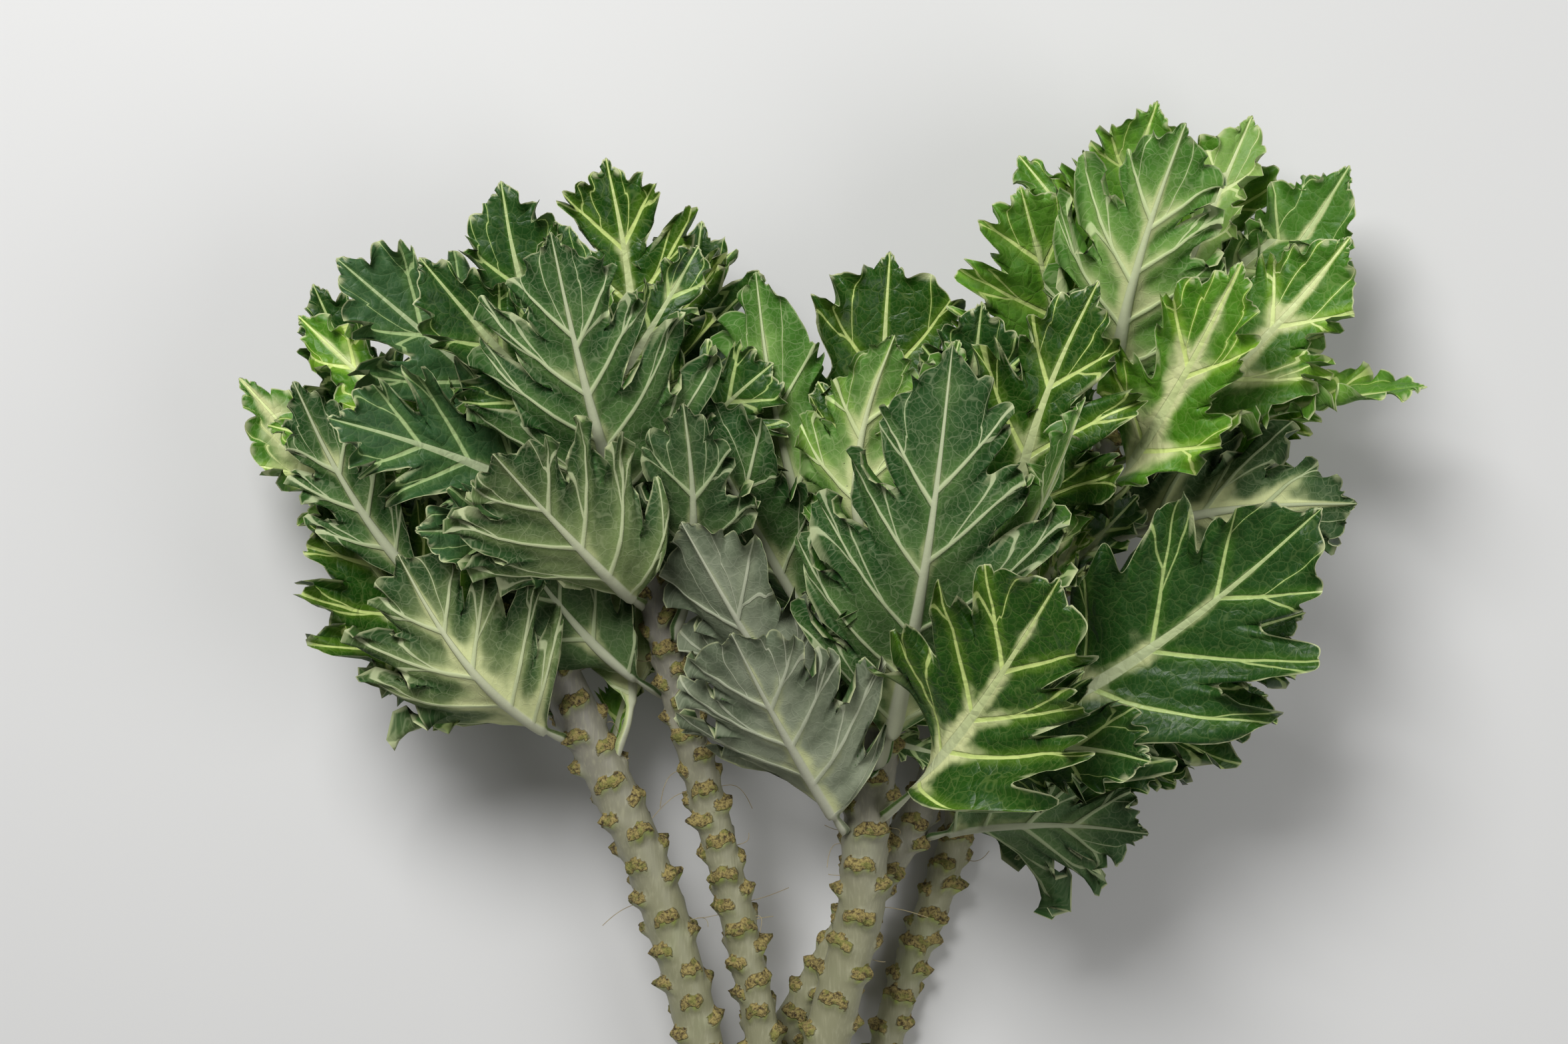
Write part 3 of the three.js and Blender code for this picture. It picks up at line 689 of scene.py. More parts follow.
def lay_leaf(rows, leaf, rng, row_step, steps):
    """The flat leaf as a grid from its left margin over the midrib to its right margin."""
    along = distances_along(rows[:, 2])
    gaps = np.linalg.norm(np.diff(rows, axis=1), axis=2)
    half_widths = [gaps[:, :2].sum(axis=1), gaps[:, 2:].sum(axis=1)]
    last_gap = along[-1] - along[-2]
    length = along[-1] + TIP_SHARE * last_gap
    share = np.linspace(-FOOT_DEPTH / length, LAST_ROW, round((length + FOOT_DEPTH) / row_step))
    stops = [*along, (along[-1] + length) / 2, length]
    sides = []
    for widths in half_widths:
        full = full_runs(share, length, stops, [*widths, TIP_BLUNTNESS * widths[-1], 0])
        sides.append(lay_side(share, length, full, leaf, rng, steps))
    left, right = sides
    flat = {key: np.concatenate([left[key][:, :0:-1], right[key]], axis=1) for key in left}
    flat["x"][:, : left["x"].shape[1] - 1] *= -1
    x, y = flat["x"], flat["y"]
    flat["share"] = share[:, None] * np.ones_like(x)
    half_width = np.where(x < 0, *(np.interp(y, along, widths) for widths in half_widths))
    before_last = np.interp(y, along, np.arange(len(rows)))
    past_last = len(rows) - 1 + (y - along[-1]) / last_gap
    flat["row"] = np.where(y < 0, y / along[1], np.where(y > along[-1], past_last, before_last))
    flat["column"] = 2 + 2 * x / half_width
    return flat


sample = lay_leaf(blades["leaf_c09"], LEAVES["c09"], np.random.default_rng(0), 2, 6)
print("a flat leaf is", round(np.ptp(sample["x"])), "by", round(np.ptp(sample["y"])), "mm")

# %% [markdown]
# ## Frills
#
# The margin of a kale leaf grows faster than its middle and has nowhere to go, so it waves. Here
# each row is turned out of the blade step by step towards its end, by an angle that changes in
# wide waves from lobe to lobe and, close to the rim, in short ones from tooth to tooth. That
# keeps the length of the row true, where pushing the margin up and down would stretch it.

# %% Frill the rows
CURL_FROM = 0.45  # share of a row, from the midrib, where its wide waves start
CURL_GROWTH = 1.4  # above 1, they grow faster towards the margin
RUFFLE_SHARE = 0.34  # of a row, from its end, that its short ones take up
RUFFLE_REACH = 13  # but no more than this
RUFFLE = 1.2  # how far the short ones turn in a leaf of middling curl, in radians
LEAST_RUFFLE = 0.4  # the share of that in a leaf with no curl
CURL_RUFFLE = 0.8  # and the share that a curl of 1 adds
WAVES = ((0.45, 1.1), (0.3, 2.3))  # the turn, and the half waves from one side vein to the next
RUFFLES = ((0.6, 2.0), (0.5, 2.7))  # the turn, and the half waves from one tooth to the next
MARGIN_LIFT = 0.1  # how far a leaf's margins turn up on the whole, in radians
SIDE_SHIFT = 0.37  # in phases, so that the two sides of a leaf don't wave alike


def sum_of_waves(waves, places, starts):
    turns = [
        turn * np.sin(half_waves * math.pi * places + start)
        for (turn, half_waves), start in zip(waves, starts)
    ]
    return sum(turns)


def frill_angle(flat, leaf, rng):
    """How far each point's stretch of row is turned out of the blade, in radians."""
    starts = rng.uniform(0, 2 * math.pi, 4)
    phase = flat["phase"] + np.where(flat["x"] < 0, SIDE_SHIFT, 0)
    waves = sum_of_waves(WAVES, phase, starts[:2]) + MARGIN_LIFT
    ruffles = sum_of_waves(RUFFLES, leaf.teeth * phase, starts[2:])
    outer = np.clip((flat["reach"] - CURL_FROM) / (1 - CURL_FROM), 0, 1) ** CURL_GROWTH
    last_run = flat["run"] / np.maximum(flat["reach"], 1e-6)
    rim_width = np.clip(RUFFLE_SHARE * last_run, 1e-6, RUFFLE_REACH)
    rim = np.clip(1 - (last_run - flat["run"]) / rim_width, 0, 1)
    ruffling = RUFFLE * (LEAST_RUFFLE + CURL_RUFFLE * leaf.curl)
    return (leaf.curl * waves * outer + ruffling * ruffles * rim) * flat["blade"]


def frill(points, normals, angles):
    """Turns each stretch of each row by its angle, working outward from the midrib."""
    middle = points.shape[1] // 2
    made = points.copy()
    for direction in (1, -1):
        last = points.shape[1] - 1 if direction == 1 else 0
        for column in range(middle + direction, last + direction, direction):
            stretch = points[:, column] - points[:, column - direction]
            size = np.linalg.norm(stretch, axis=1, keepdims=True)
            angle = angles[:, column, None]
            turned = stretch * np.cos(angle) + normals[:, column] * size * np.sin(angle)
            made[:, column] = made[:, column - direction] + turned
    return made


margin_turns = frill_angle(sample, LEAVES["c09"], np.random.default_rng(0))[:, -1]
steepest = math.degrees(np.abs(margin_turns).max())
print("a frilled margin turns by up to", round(steepest), "degrees at each step")

# %% [markdown]
# ## Veins and thickness
#
# The midrib and the side veins stand out below as round ridges and leave shallow furrows above,
# and the blade bulges and puckers a little between them. A displacement map could do that at
# render time, but heights worked out from the stored distances cost no more, and they are real:
# they catch the light from every side.

# %% Thicken the sheet
VEIN_WIDTH = 1.0  # half width of a side vein where it leaves the midrib
VEIN_TAPER = 0.85
VEIN_END = 0.36
VEIN_RISE = (0.6, 1.4)  # where a side vein rises out of the midrib, in half widths of the midrib
VEIN_FURROW = 0.35  # the depth of the furrow that a side vein leaves above
RIB_ABOVE = 0.2  # how much of the midrib's roundness shows above
RIDGE = 0.9  # and how much of it and of the side veins below
BLADE_THICKNESS = 0.5
MARGIN_ROUNDING = 1.2
BULGE = 1.2
BULGE_SCALES = (0.3, 1.1)  # how much of that the smallest and the largest leaves have
BULGE_BAND = (0.1, 0.4, 0.8, 1)  # where along a row the bulges start, are full, fade and end
PUCKER = 0.5
TABLE_GAP = 0.3


def normals_of(points):
    across = np.gradient(points, axis=1)
    lengthwise = np.gradient(points, axis=0)
    return unit(np.cross(across, lengthwise))


def bulges(flat, rng):
    """How far the blade rises between its veins, and its small puckers."""
    x, y = flat["x"], flat["y"]
    away = band(flat["reach"], *BULGE_BAND)
    turns = rng.uniform(0, 2 * math.pi, 2)
    # The puckers are two waves that cross at a slant. Their lengths have no common measure.
    pucker = np.sin(x / 2.9 + y / 4.7 + turns[0]) * np.sin(y / 3.1 - x / 5.3 + turns[1])
    size = np.clip((y.max() - y.min()) / LARGE_LEAF, *BULGE_SCALES)
    between = np.sin(np.pi * flat["phase"]) ** 2
    return (BULGE * size * between + PUCKER * pucker) * away * flat["blade"]


def shape_leaf(rows, flat, leaf, rng):
    """The upper and the lower side of the leaf, as two grids of points."""
    sheet = sheet_points(rows, flat["row"], flat["column"])
    sheet = frill(sheet, normals_of(sheet), frill_angle(flat, leaf, rng))
    normals = normals_of(sheet)
    vein_width = VEIN_WIDTH * (1 - VEIN_TAPER * np.clip(flat["reach"], 0, 1)) + VEIN_END
    vein = np.exp(-((flat["vein"] / vein_width) ** 2)) * flat["blade"]
    vein *= smoothstep(flat["rib"], *VEIN_RISE)
    rib = np.sqrt(np.clip(1 - flat["rib"] ** 2, 0, 1)) * flat["rib width"]
    middle = sheet + normals * bulges(flat, rng)[..., None]
    thickness = smoothstep(flat["edge"], 0, MARGIN_ROUNDING) * BLADE_THICKNESS
    above = thickness / 2 - VEIN_FURROW * vein + RIB_ABOVE * rib
    below = thickness / 2 + RIDGE * (vein * vein_width + rib)
    upper = middle + normals * above[..., None]
    under = middle - normals * below[..., None]
    for side in (upper, under):
        side[..., 2] = np.maximum(side[..., 2], TABLE_GAP)
    flat["vein width"] = vein_width
    return upper, under


upper, under = shape_leaf(blades["leaf_c09"], sample, LEAVES["c09"], np.random.default_rng(0))
thickest = np.linalg.norm(upper - under, axis=-1).max()
print("with its midrib, that leaf is up to", round(thickest, 1), "mm thick")

# %% [markdown]
# ## From grids to a mesh
#
# The two sides share the points of the margin, and the margin is marked sharp, so that light
# breaks on it as on a cut edge. What the materials need to know about a point, such as its
# distance from the nearest vein, is stored on the mesh under a few names. Painting such masks
# into images would work too, but numbers stored at the points stay sharp and travel with them.

# %% Build meshes from grids
def quads(grid):
    """The faces of a grid of point numbers."""
    faces = np.stack([grid[:-1, :-1], grid[:-1, 1:], grid[1:, 1:], grid[1:, :-1]], axis=-1)
    return faces.reshape(-1, 4)


def store(mesh, name, *numbers):
    """Keeps up to three numbers for each point of a mesh, under one name."""
    vectors = np.zeros((len(mesh.vertices), 3), np.float32)
    vectors[:, : len(numbers)] = np.stack(numbers, axis=-1)
    attribute = mesh.attributes.new(name, "FLOAT_VECTOR", "POINT")
    attribute.data.foreach_set("vector", vectors.ravel())


def sharpen(mesh, margin):
    """Marks each edge between two points of the margin as sharp."""
    ends = np.zeros(len(mesh.edges) * 2, int)
    mesh.edges.foreach_get("vertices", ends)
    sharp = mesh.attributes.new("sharp_edge", "BOOLEAN", "EDGE")
    sharp.data.foreach_set("value", margin[ends].reshape(-1, 2).all(axis=1))


def add_piece(name, mesh, finish):
    mesh.materials.append(finish)
    piece = bpy.data.objects.new(name, mesh)
    bpy.context.scene.collection.objects.link(piece)
    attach(piece, "root")
    return piece


print("that leaf has", len(quads(sample["x"])), "faces on each side")

# %% Build leaf meshes
UV_NAME = "OFBake"
UV_SHARE = 0.49  # of the map's width for each side of the leaf
UV_SPREAD = 2.04  # the width laid out, in widths of the wider half of the leaf
NOISE_STEP = 37.0  # how far apart in the noise two leaves are, so that no two are blotched alike


def lay_map(mesh, x, y):
    """Lays the upper side out on the left half of the map and the lower side on the right."""
    u = (x / (np.abs(x).max() * UV_SPREAD) + 0.5) * UV_SHARE
    v = (y - y.min()) / (y.max() - y.min())
    loops = np.zeros(len(mesh.loops), int)
    mesh.loops.foreach_get("vertex_index", loops)
    side_loops = 2 * (len(mesh.polygons) - 2)
    right = np.zeros(len(loops))
    right[side_loops : 2 * side_loops] = 0.5
    places = np.stack([u[loops] + right, v[loops]], axis=-1)
    layer = mesh.uv_layers.new(name=UV_NAME)
    layer.data.foreach_set("uv", places.astype(np.float32).ravel())


def leaf_mesh(name, upper, under, flat, seed):
    """A closed mesh over two grids that meet in their margins. It keeps the leaf's numbers."""
    count, width = flat["x"].shape
    top = np.arange(count * width).reshape(count, width)
    low = top.copy()
    low[:, 1:-1] = count * width + np.arange(count * (width - 2)).reshape(count, width - 2)
    corners = np.concatenate([upper.reshape(-1, 3), under[:, 1:-1].reshape(-1, 3)]) * MM
    faces = np.concatenate([quads(top), quads(low)[:, ::-1]])
    foot = [*top[0, ::-1], *low[0, 1:-1]]
    tip = [*top[-1], *low[-1, -2:0:-1]]
    mesh = bpy.data.meshes.new(name)
    mesh.from_pydata(corners, [], [*faces.tolist(), foot, tip])
    mesh.polygons.foreach_set("use_smooth", np.ones(len(mesh.polygons), bool))

    margin = np.zeros(len(corners), bool)
    margin[top[:, [0, -1]]] = True
    sharpen(mesh, margin)
    side = np.where(margin, 0.5, np.arange(len(corners)) < count * width)
    both = {key: np.concatenate([grid.ravel(), grid[:, 1:-1].ravel()]) for key, grid in flat.items()}
    lay_map(mesh, both["x"], both["y"])
    store(mesh, "place", both["x"], both["y"], np.full(len(corners), NOISE_STEP * seed))
    store(mesh, "veins", both["rib"], both["vein"], both["vein width"])
    store(mesh, "run", both["reach"], both["share"])
    store(mesh, "edge", both["edge"], both["tooth"], side)
    store(mesh, "forks", *(both[f"fork {number}"] for number in range(FORKS)))
    return mesh

# %% [markdown]
# ## The finish of a leaf
#
# The upper side is dark, waxy and a little glossy, with sunken cream veins and a yellow-green
# glow round them. The under side is dull and greyer, and its veins stand up nearly white. Side
# veins fork towards the teeth, and two nets of ever finer veins fill the rest. In the middle of a
# head the green gives way to cream from the veins outward. All of it is worked out from the
# distances stored on the mesh, so a vein's colour always lies on its ridge. The plain numbers in
# the formulas were chosen one by one: a factor says how much a mask counts, and the numbers in a
# rise say where it starts and where it is full.

# %% List the looks
# Each side has a green, and a second one that is mixed into it in patches.
Look = namedtuple("Look", "upper upper_far under under_far glow vein under_vein roughness")
LOOKS = {
    "dark": Look(
        (0.008, 0.039, 0.005), (0.023, 0.076, 0.012), (0.032, 0.078, 0.016), (0.082, 0.146, 0.043),
        (0.050, 0.135, 0.012), (0.413, 0.528, 0.185), (0.395, 0.479, 0.239), 0.38,
    ),
    "veined": Look(
        (0.008, 0.040, 0.003), (0.025, 0.087, 0.007), (0.032, 0.081, 0.013), (0.088, 0.163, 0.041),
        (0.099, 0.200, 0.012), (0.520, 0.626, 0.201), (0.413, 0.498, 0.239), 0.34,
    ),
    "blue": Look(
        (0.017, 0.060, 0.016), (0.041, 0.105, 0.032), (0.037, 0.085, 0.027), (0.094, 0.163, 0.059),
        (0.076, 0.163, 0.037), (0.341, 0.459, 0.193), (0.377, 0.450, 0.246), 0.46,
    ),
    "bright": Look(
        (0.037, 0.136, 0.007), (0.109, 0.262, 0.023), (0.083, 0.207, 0.024), (0.171, 0.325, 0.071),
        (0.195, 0.375, 0.030), (0.562, 0.685, 0.217), (0.523, 0.644, 0.281), 0.44,
    ),
    "leafy": Look(
        (0.016, 0.066, 0.007), (0.036, 0.105, 0.013), (0.010, 0.048, 0.005), (0.064, 0.131, 0.032),
        (0.057, 0.135, 0.021), (0.395, 0.489, 0.208), (0.430, 0.489, 0.275), 0.42,
    ),
    "fresh": Look(
        (0.032, 0.116, 0.008), (0.071, 0.193, 0.019), (0.046, 0.144, 0.013), (0.171, 0.315, 0.066),
        (0.149, 0.285, 0.053), (0.484, 0.602, 0.233), (0.533, 0.623, 0.320), 0.46,
    ),
    "dusky": Look(
        (0.010, 0.038, 0.007), (0.024, 0.067, 0.013), (0.018, 0.050, 0.011), (0.060, 0.110, 0.032),
        (0.050, 0.105, 0.021), (0.323, 0.421, 0.171), (0.341, 0.400, 0.216), 0.46,
    ),
    "grey": Look(
        (0.025, 0.078, 0.015), (0.050, 0.122, 0.026), (0.014, 0.048, 0.007), (0.149, 0.199, 0.073),
        (0.126, 0.192, 0.052), (0.377, 0.450, 0.216), (0.449, 0.498, 0.283), 0.48,
    ),
    "silver": Look(
        (0.026, 0.075, 0.017), (0.053, 0.118, 0.029), (0.098, 0.124, 0.073), (0.285, 0.318, 0.218),
        (0.140, 0.172, 0.090), (0.380, 0.420, 0.240), (0.420, 0.448, 0.320), 0.48,
    ),
    "pale": Look(
        (0.132, 0.267, 0.047), (0.204, 0.335, 0.071), (0.171, 0.277, 0.071), (0.336, 0.443, 0.167),
        (0.319, 0.454, 0.122), (0.581, 0.666, 0.304), (0.581, 0.644, 0.361), 0.50,
    ),
    "cream": Look(
        (0.026, 0.105, 0.007), (0.074, 0.207, 0.016), (0.067, 0.169, 0.022), (0.204, 0.335, 0.083),
        (0.285, 0.485, 0.045), (0.717, 0.812, 0.338), (0.602, 0.685, 0.338), 0.44,
    ),
    "yellow": Look(
        (0.036, 0.136, 0.005), (0.094, 0.242, 0.016), (0.083, 0.197, 0.022), (0.219, 0.365, 0.071),
        (0.260, 0.465, 0.032), (0.640, 0.760, 0.241), (0.581, 0.685, 0.297), 0.42,
    ),
}
CREAM = (0.61, 0.64, 0.32)
RIB_COLOUR = (0.47, 0.47, 0.37)
PALE_MARGIN = (0.56, 0.59, 0.33)
print(len(LOOKS), "looks for", len(LEAVES), "leaves")

# %% Mix the leaf finishes
FORK_WIDTH = 0.46  # half width of a fork of a side vein
BLUR = 0.18  # over which a fork's colour fades
MESH_SIZE = 7.5  # across the patches between fine veins
NET_SIZE = 2.6  # across the patches of the finest net
UNDER_ROUGHNESS = 0.72
LEAF_SHINE = 0.24
LEAF_RELIEF = 0.0006


def vein_masks(finish, wander):
    """Masks of the midrib, of all beside it, of every strong vein and of the glow round them."""
    rib_place, vein_place, vein_width = finish.numbers("veins")
    from_vein = abs(vein_place)
    from_forks = [abs(fork_place) for fork_place in finish.numbers("forks")]
    from_fork = from_forks[0].at_most(from_forks[1]).at_most(from_forks[2]) + wander * 0.5
    rib = rib_place.rise(1.08, 0.82)
    beside_rib = rib_place.rise(1, 1.5)
    lateral = (from_vein / vein_width + wander * 0.5).rise(1.1, 0.55)
    fork = from_fork.rise(FORK_WIDTH + BLUR, FORK_WIDTH - BLUR) * beside_rib
    strong = rib.at_least(lateral).at_least(fork * 0.85)
    glow = (from_vein - vein_width + wander * 3).rise(4.5, 0).at_least(rib_place.rise(3.0, 1))
    glow = glow.at_least((from_fork + wander * 1.5).rise(2.6, 0.3) * 0.75)
    return rib, beside_rib, strong, glow


def leaf_finish(name, look, cream):
    finish = Finish(name)
    place = finish.vector("place")
    reach, share, _ = finish.numbers("run")
    edge, tooth, side = finish.numbers("edge")
    upper = side.rise(0.499, 0.501)
    blotch = finish.noise(place, 22, 3)
    speckle = finish.noise(place, 2.4, 3, 0.6)
    wander = finish.noise(place, 7, 2) - 0.5

    rib, beside_rib, strong, glow = vein_masks(finish, wander)
    meshes = finish.cell_edges(finish.bent(place, 9), MESH_SIZE)
    net = finish.cell_edges(place, NET_SIZE)
    fine = (meshes / MESH_SIZE + speckle * 0.05).rise(0.075, 0.03) * beside_rib
    veins = strong.at_least(fine * 0.09).at_least((net / NET_SIZE).rise(0.10, 0.03) * 0.04)
    under_veins = strong.at_least(fine * 0.2).at_least((net / NET_SIZE).rise(0.12, 0.03) * 0.08)
    inner = reach * -0.75 + share * -0.35 + (blotch - 0.5) + glow * 0.2 + cream
    creamy = inner.rise(0.0, 0.42) * (finish.noise(place, 9, 3) * 0.5 + 0.75).at_most(1)

    patches = (blotch * 1.3 + speckle * 0.5 - 0.4).at_most(1).at_least(0)
    top = finish.mix(patches, look.upper, look.upper_far)
    top = finish.mix(glow * (blotch * 0.6 + 0.25), top, look.glow)
    top = finish.mix(creamy, top, CREAM)
    top = finish.mix(veins, top, look.vein)

    inward = blotch * 1.5 + speckle * 0.3 - reach * 0.9 - share * 0.6 + glow * 0.25
    bottom = finish.mix(inward.rise(-0.2, 0.75), look.under, look.under_far)
    bottom = finish.mix(glow * 0.35, bottom, look.glow)
    bottom = finish.mix(creamy * 0.8, bottom, CREAM)
    bottom = finish.mix(under_veins * 0.9, bottom, look.under_vein)

    colour = finish.mix(upper, bottom, top)
    colour = finish.mix(rib * (1 - share * 0.9) * 0.8, colour, RIB_COLOUR)
    margin = edge.rise(0.6, 0.1).at_least(tooth.rise(0.9, 1.0) * edge.rise(2.6, 0.5) * 0.8)
    colour = finish.mix(margin * (upper * 0.4 + 0.4), colour, PALE_MARGIN)

    gloss = speckle * 0.16 + blotch * 0.14 + (look.roughness - 0.14)
    dull = speckle * 0.1 + (UNDER_ROUGHNESS - 0.05)
    sunken = meshes * 0.22 + net * 0.1 - veins * 0.5 + speckle * 0.12
    raised = under_veins * 0.6 + speckle * 0.25
    height = upper * sunken + (1 - upper) * raised
    finish.set(Base_Color=colour, Roughness=upper * gloss + (1 - upper) * dull)
    finish.set(Normal=finish.bump(height, LEAF_RELIEF), Specular_IOR_Level=LEAF_SHINE)
    return finish.material

# %% [markdown]
# ## Making the leaves
#
# Every leaf gets its own mesh and its own finish, because the reach of the cream differs. The
# leaves at the back of the heads can't be seen from above and make do with a coarser mesh.

# %% Make the leaves
FINE = (1.22, 10)  # the distance between rows, and the steps from the midrib to a margin
COARSE = (2.0, 6)
SLOTS = dict.fromkeys(("dark", "veined", "blue", "dusky"), "dark_leaf")
SLOTS |= dict.fromkeys(("grey", "silver"), "grey_leaf")


def make_leaf(name, rows, leaf, seed, fineness, finish):
    rng = np.random.default_rng(seed)
    flat = lay_leaf(rows, leaf, rng, *fineness)
    upper, under = shape_leaf(rows, flat, leaf, rng)
    piece = add_piece(name, leaf_mesh(name, upper, under, flat, seed), finish)
    SLOTS.get(leaf.look, "light_leaf")
    return piece


faces = 0
for seed, (key, leaf) in enumerate(LEAVES.items(), start=1):
    node = f"leaf_{key}"
    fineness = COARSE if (leaf is HIDDEN) else FINE
    finish = leaf_finish(node, LOOKS[leaf.look], leaf.cream)
    piece = make_leaf(f"kale_{node}", blades[node], leaf, seed, fineness, finish)
    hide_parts(node)
    faces += len(piece.data.polygons)
print("made", len(LEAVES), "leaves of", faces, "faces in all")

# %% [markdown]
# ## The stems
#
# A kale stem keeps a scar for every leaf that was picked off it: a corky brown crescent on a
# small ledge, and sometimes a stub of the stalk. The scars follow each other round the stem in
# a spiral, each one turned on by the golden angle. They could be modelled one by one and set on
# the rod, but then each would need a seam; pushing the stem's own skin out makes them grow from
# it, and the same numbers tell the finish where the cork is.

# %% Push the scars out
GOLDEN_ANGLE = math.radians(137.5)
SCAR_SPACING = 5.2  # along the stem from each scar to the next
SCAR_WIDTHS = (5.5, 9.5)  # half the width of a scar, round the stem
SCAR_RISE = 5.5  # how far below its edge a ledge starts
SCAR_FACE = 4.2  # how far above its edge the cork ends
SCAR_DEPTHS = (1.8, 4.2)  # how far ledges stand out
FIRST_SCAR = 4  # from the cut end
LAST_SCAR = 24  # the stem is smooth from here to its tip, among the young leaves
FULL_SCAR = 90  # and ledges stand out fully as far from the tip as this
TURN_STRAY = 0.15  # how far a scar strays round the stem from the spiral, in radians
SCAR_STRAY = 0.8  # and how far along the stem
SCAR_DROOP = 1.6  # how far the ends of a scar hang down
SCAR_RAGGEDNESS = 0.8  # how far its edge waves up and down


def scars_on(places, angles, radii, length, rng):
    """How far each point stands out, how corky it is and how green, on a grid of rings and
    angles."""
    height = np.zeros((len(places), len(angles)))
    cork = np.zeros_like(height)
    green = np.zeros_like(height)
    # Every scar is a crescent with drooping ends, and waves along its edge make it look torn.
    for k, place in enumerate(np.arange(FIRST_SCAR, length - LAST_SCAR, SCAR_SPACING)):
        depth = rng.uniform(*SCAR_DEPTHS) * smoothstep(length - place, LAST_SCAR, FULL_SCAR)
        turn = angles - k * GOLDEN_ANGLE - rng.normal(0, TURN_STRAY) + math.pi
        aside = (turn % (2 * math.pi) - math.pi) * radii[:, None] / rng.uniform(*SCAR_WIDTHS)
        tear, other_tear, third_tear = rng.uniform(0, 2 * math.pi, 3)
        up = places[:, None] - place - rng.normal(0, SCAR_STRAY) + SCAR_DROOP * aside**2
        up += SCAR_RAGGEDNESS * np.sin(6 * aside + third_tear)
        across = np.exp(-(aside**4))
        torn = 1 + 0.3 * np.sin(9 * aside + tear) + 0.25 * np.sin(17 * aside + other_tear)
        # All three bands are measured in millimetres up the stem from the ledge's edge.
        ledge = band(up, -SCAR_RISE, -0.3, 0.2, SCAR_FACE)
        face = band(up, -2.2, -0.6, SCAR_FACE - 0.6, SCAR_FACE + 0.6)
        below = band(up, -SCAR_RISE, -1.5, -1, 0.2)
        height = np.maximum(height, depth * across * torn * ledge)
        cork = np.maximum(cork, face * across)
        green = np.maximum(green, below * across * torn)
    return height, cork, green


print("scars follow each other at", round(math.degrees(GOLDEN_ANGLE), 1), "degrees")

# %% Shape the stems
STEM_STEP = 1.5  # between the rings of the fine mesh
STEM_POINTS = 40  # round each ring
SCAR_LEAN = 0.3  # how far a ledge leans up the stem, for each millimetre it stands out
SKIN_INSET = 0.5  # how far the skin lies inside the solid between its lumps
CRUST = 0.42  # how far the grain of the cork moves its points


def stem_line(name):
    """Middles and radii along a packed stem, from its cut end to its tip, in millimetres."""
    mesh, rings = open_loft(name, STEM_SIDES)
    points = np.array([[corner.co / MM for corner in ring] for ring in rings])
    mesh.free()
    middles = points.mean(axis=1)
    radii = np.linalg.norm(points - middles[:, None], axis=2).mean(axis=1)
    if radii[0] < radii[-1]:
        middles, radii = middles[::-1], radii[::-1]
    return middles, radii


def carried_frames(line):
    """The direction of a line at each point and two square to it, carried on without twisting."""
    tangents = unit(np.gradient(line, axis=0))
    across = np.zeros_like(line)
    across[0] = unit(np.cross(tangents[0], (0.0, 0.0, 1.0)))
    for i in range(1, len(line)):
        last = across[i - 1]
        across[i] = unit(last - tangents[i] * np.dot(last, tangents[i]))
    return tangents, across, np.cross(tangents, across)


def stem_mesh(name, rng):
    """The mesh of a stem, and the middles and radii that it was made round."""
    middles, radii = stem_line(name)
    along = distances_along(middles)
    places = np.arange(0, along[-1], STEM_STEP)
    line = line_points(middles, np.interp(places, along, np.arange(len(along))))
    radius = np.interp(places, along, radii)
    angles = np.linspace(0, 2 * math.pi, STEM_POINTS, endpoint=False)
    height, cork, green = scars_on(places, angles, radius, along[-1], rng)
    # Shallow lumps keep the stem from looking as if it came off a lathe.
    lumps = 0.25 * np.sin(3 * angles + 0.05 * places[:, None])
    lumps += 0.2 * np.sin(places[:, None] / 9 + 2 * angles)
    crust = rng.normal(0, CRUST, height.shape) * cork
    out = radius[:, None] - SKIN_INSET + lumps + height + crust
    tangents, across, other = (directions[:, None] for directions in carried_frames(line))
    around = across * np.cos(angles)[:, None] + other * np.sin(angles)[:, None]
    rings = line[:, None] + around * out[..., None] + tangents * height[..., None] * SCAR_LEAN
    rings[..., 2] = np.maximum(rings[..., 2], TABLE_GAP)

    grid = np.arange(height.size).reshape(height.shape)
    round_grid = np.column_stack([grid, grid[:, 0]])
    faces = quads(round_grid).tolist()
    heart = height.size
    cut_face = [[*round_grid[0, [i + 1, i]], heart] for i in range(STEM_POINTS)]
    points = np.vstack([rings.reshape(-1, 3), rings[0].mean(axis=0)])
    mesh = bpy.data.meshes.new(name)
    mesh.from_pydata(points * MM, [], [*faces, *cut_face, list(grid[-1])])
    mesh.polygons.foreach_set("use_smooth", np.arange(len(mesh.polygons)) < len(faces))
    share = np.repeat(places / along[-1], STEM_POINTS)
    inward = np.arange(len(points)) == heart
    store(mesh, "place", *points.T)
    store(mesh, "scar", *(np.append(grid_values, 0) for grid_values in (cork, green, height)))
    store(mesh, "run", np.append(share, 0), inward)
    return mesh, line, radius

# %% [markdown]
# ## The finish of a stem
#
# The skin is waxy and pale: grey-violet under the leaves and yellow-green lower down, with faint
# long fibres. The scars are cork, rough and brown with darker cracks, and the ledge below each
# one is still green at its edge. The cut face has a green rind, pale wood and a paler pith. A coat
# of wax could be a second shader, but a little roughness noise does as much for so dull a shine.

# %% Mix the stem finish
LOWER_SKIN = (0.242, 0.238, 0.142)
UPPER_SKIN = (0.220, 0.208, 0.174)
PALE_FIBRE = (0.40, 0.39, 0.26)
GREEN_SKIN = (0.24, 0.27, 0.13)
GREEN_LEDGE = (0.32, 0.38, 0.08)
CORK_CRACK = (0.045, 0.028, 0.009)
CORK = (0.34, 0.27, 0.09)
OLIVE_CORK = (0.17, 0.19, 0.035)
WOOD = (0.50, 0.52, 0.32)
PITH = (0.66, 0.66, 0.50)
RIND = (0.30, 0.36, 0.14)
STEM_RELIEF = 0.001


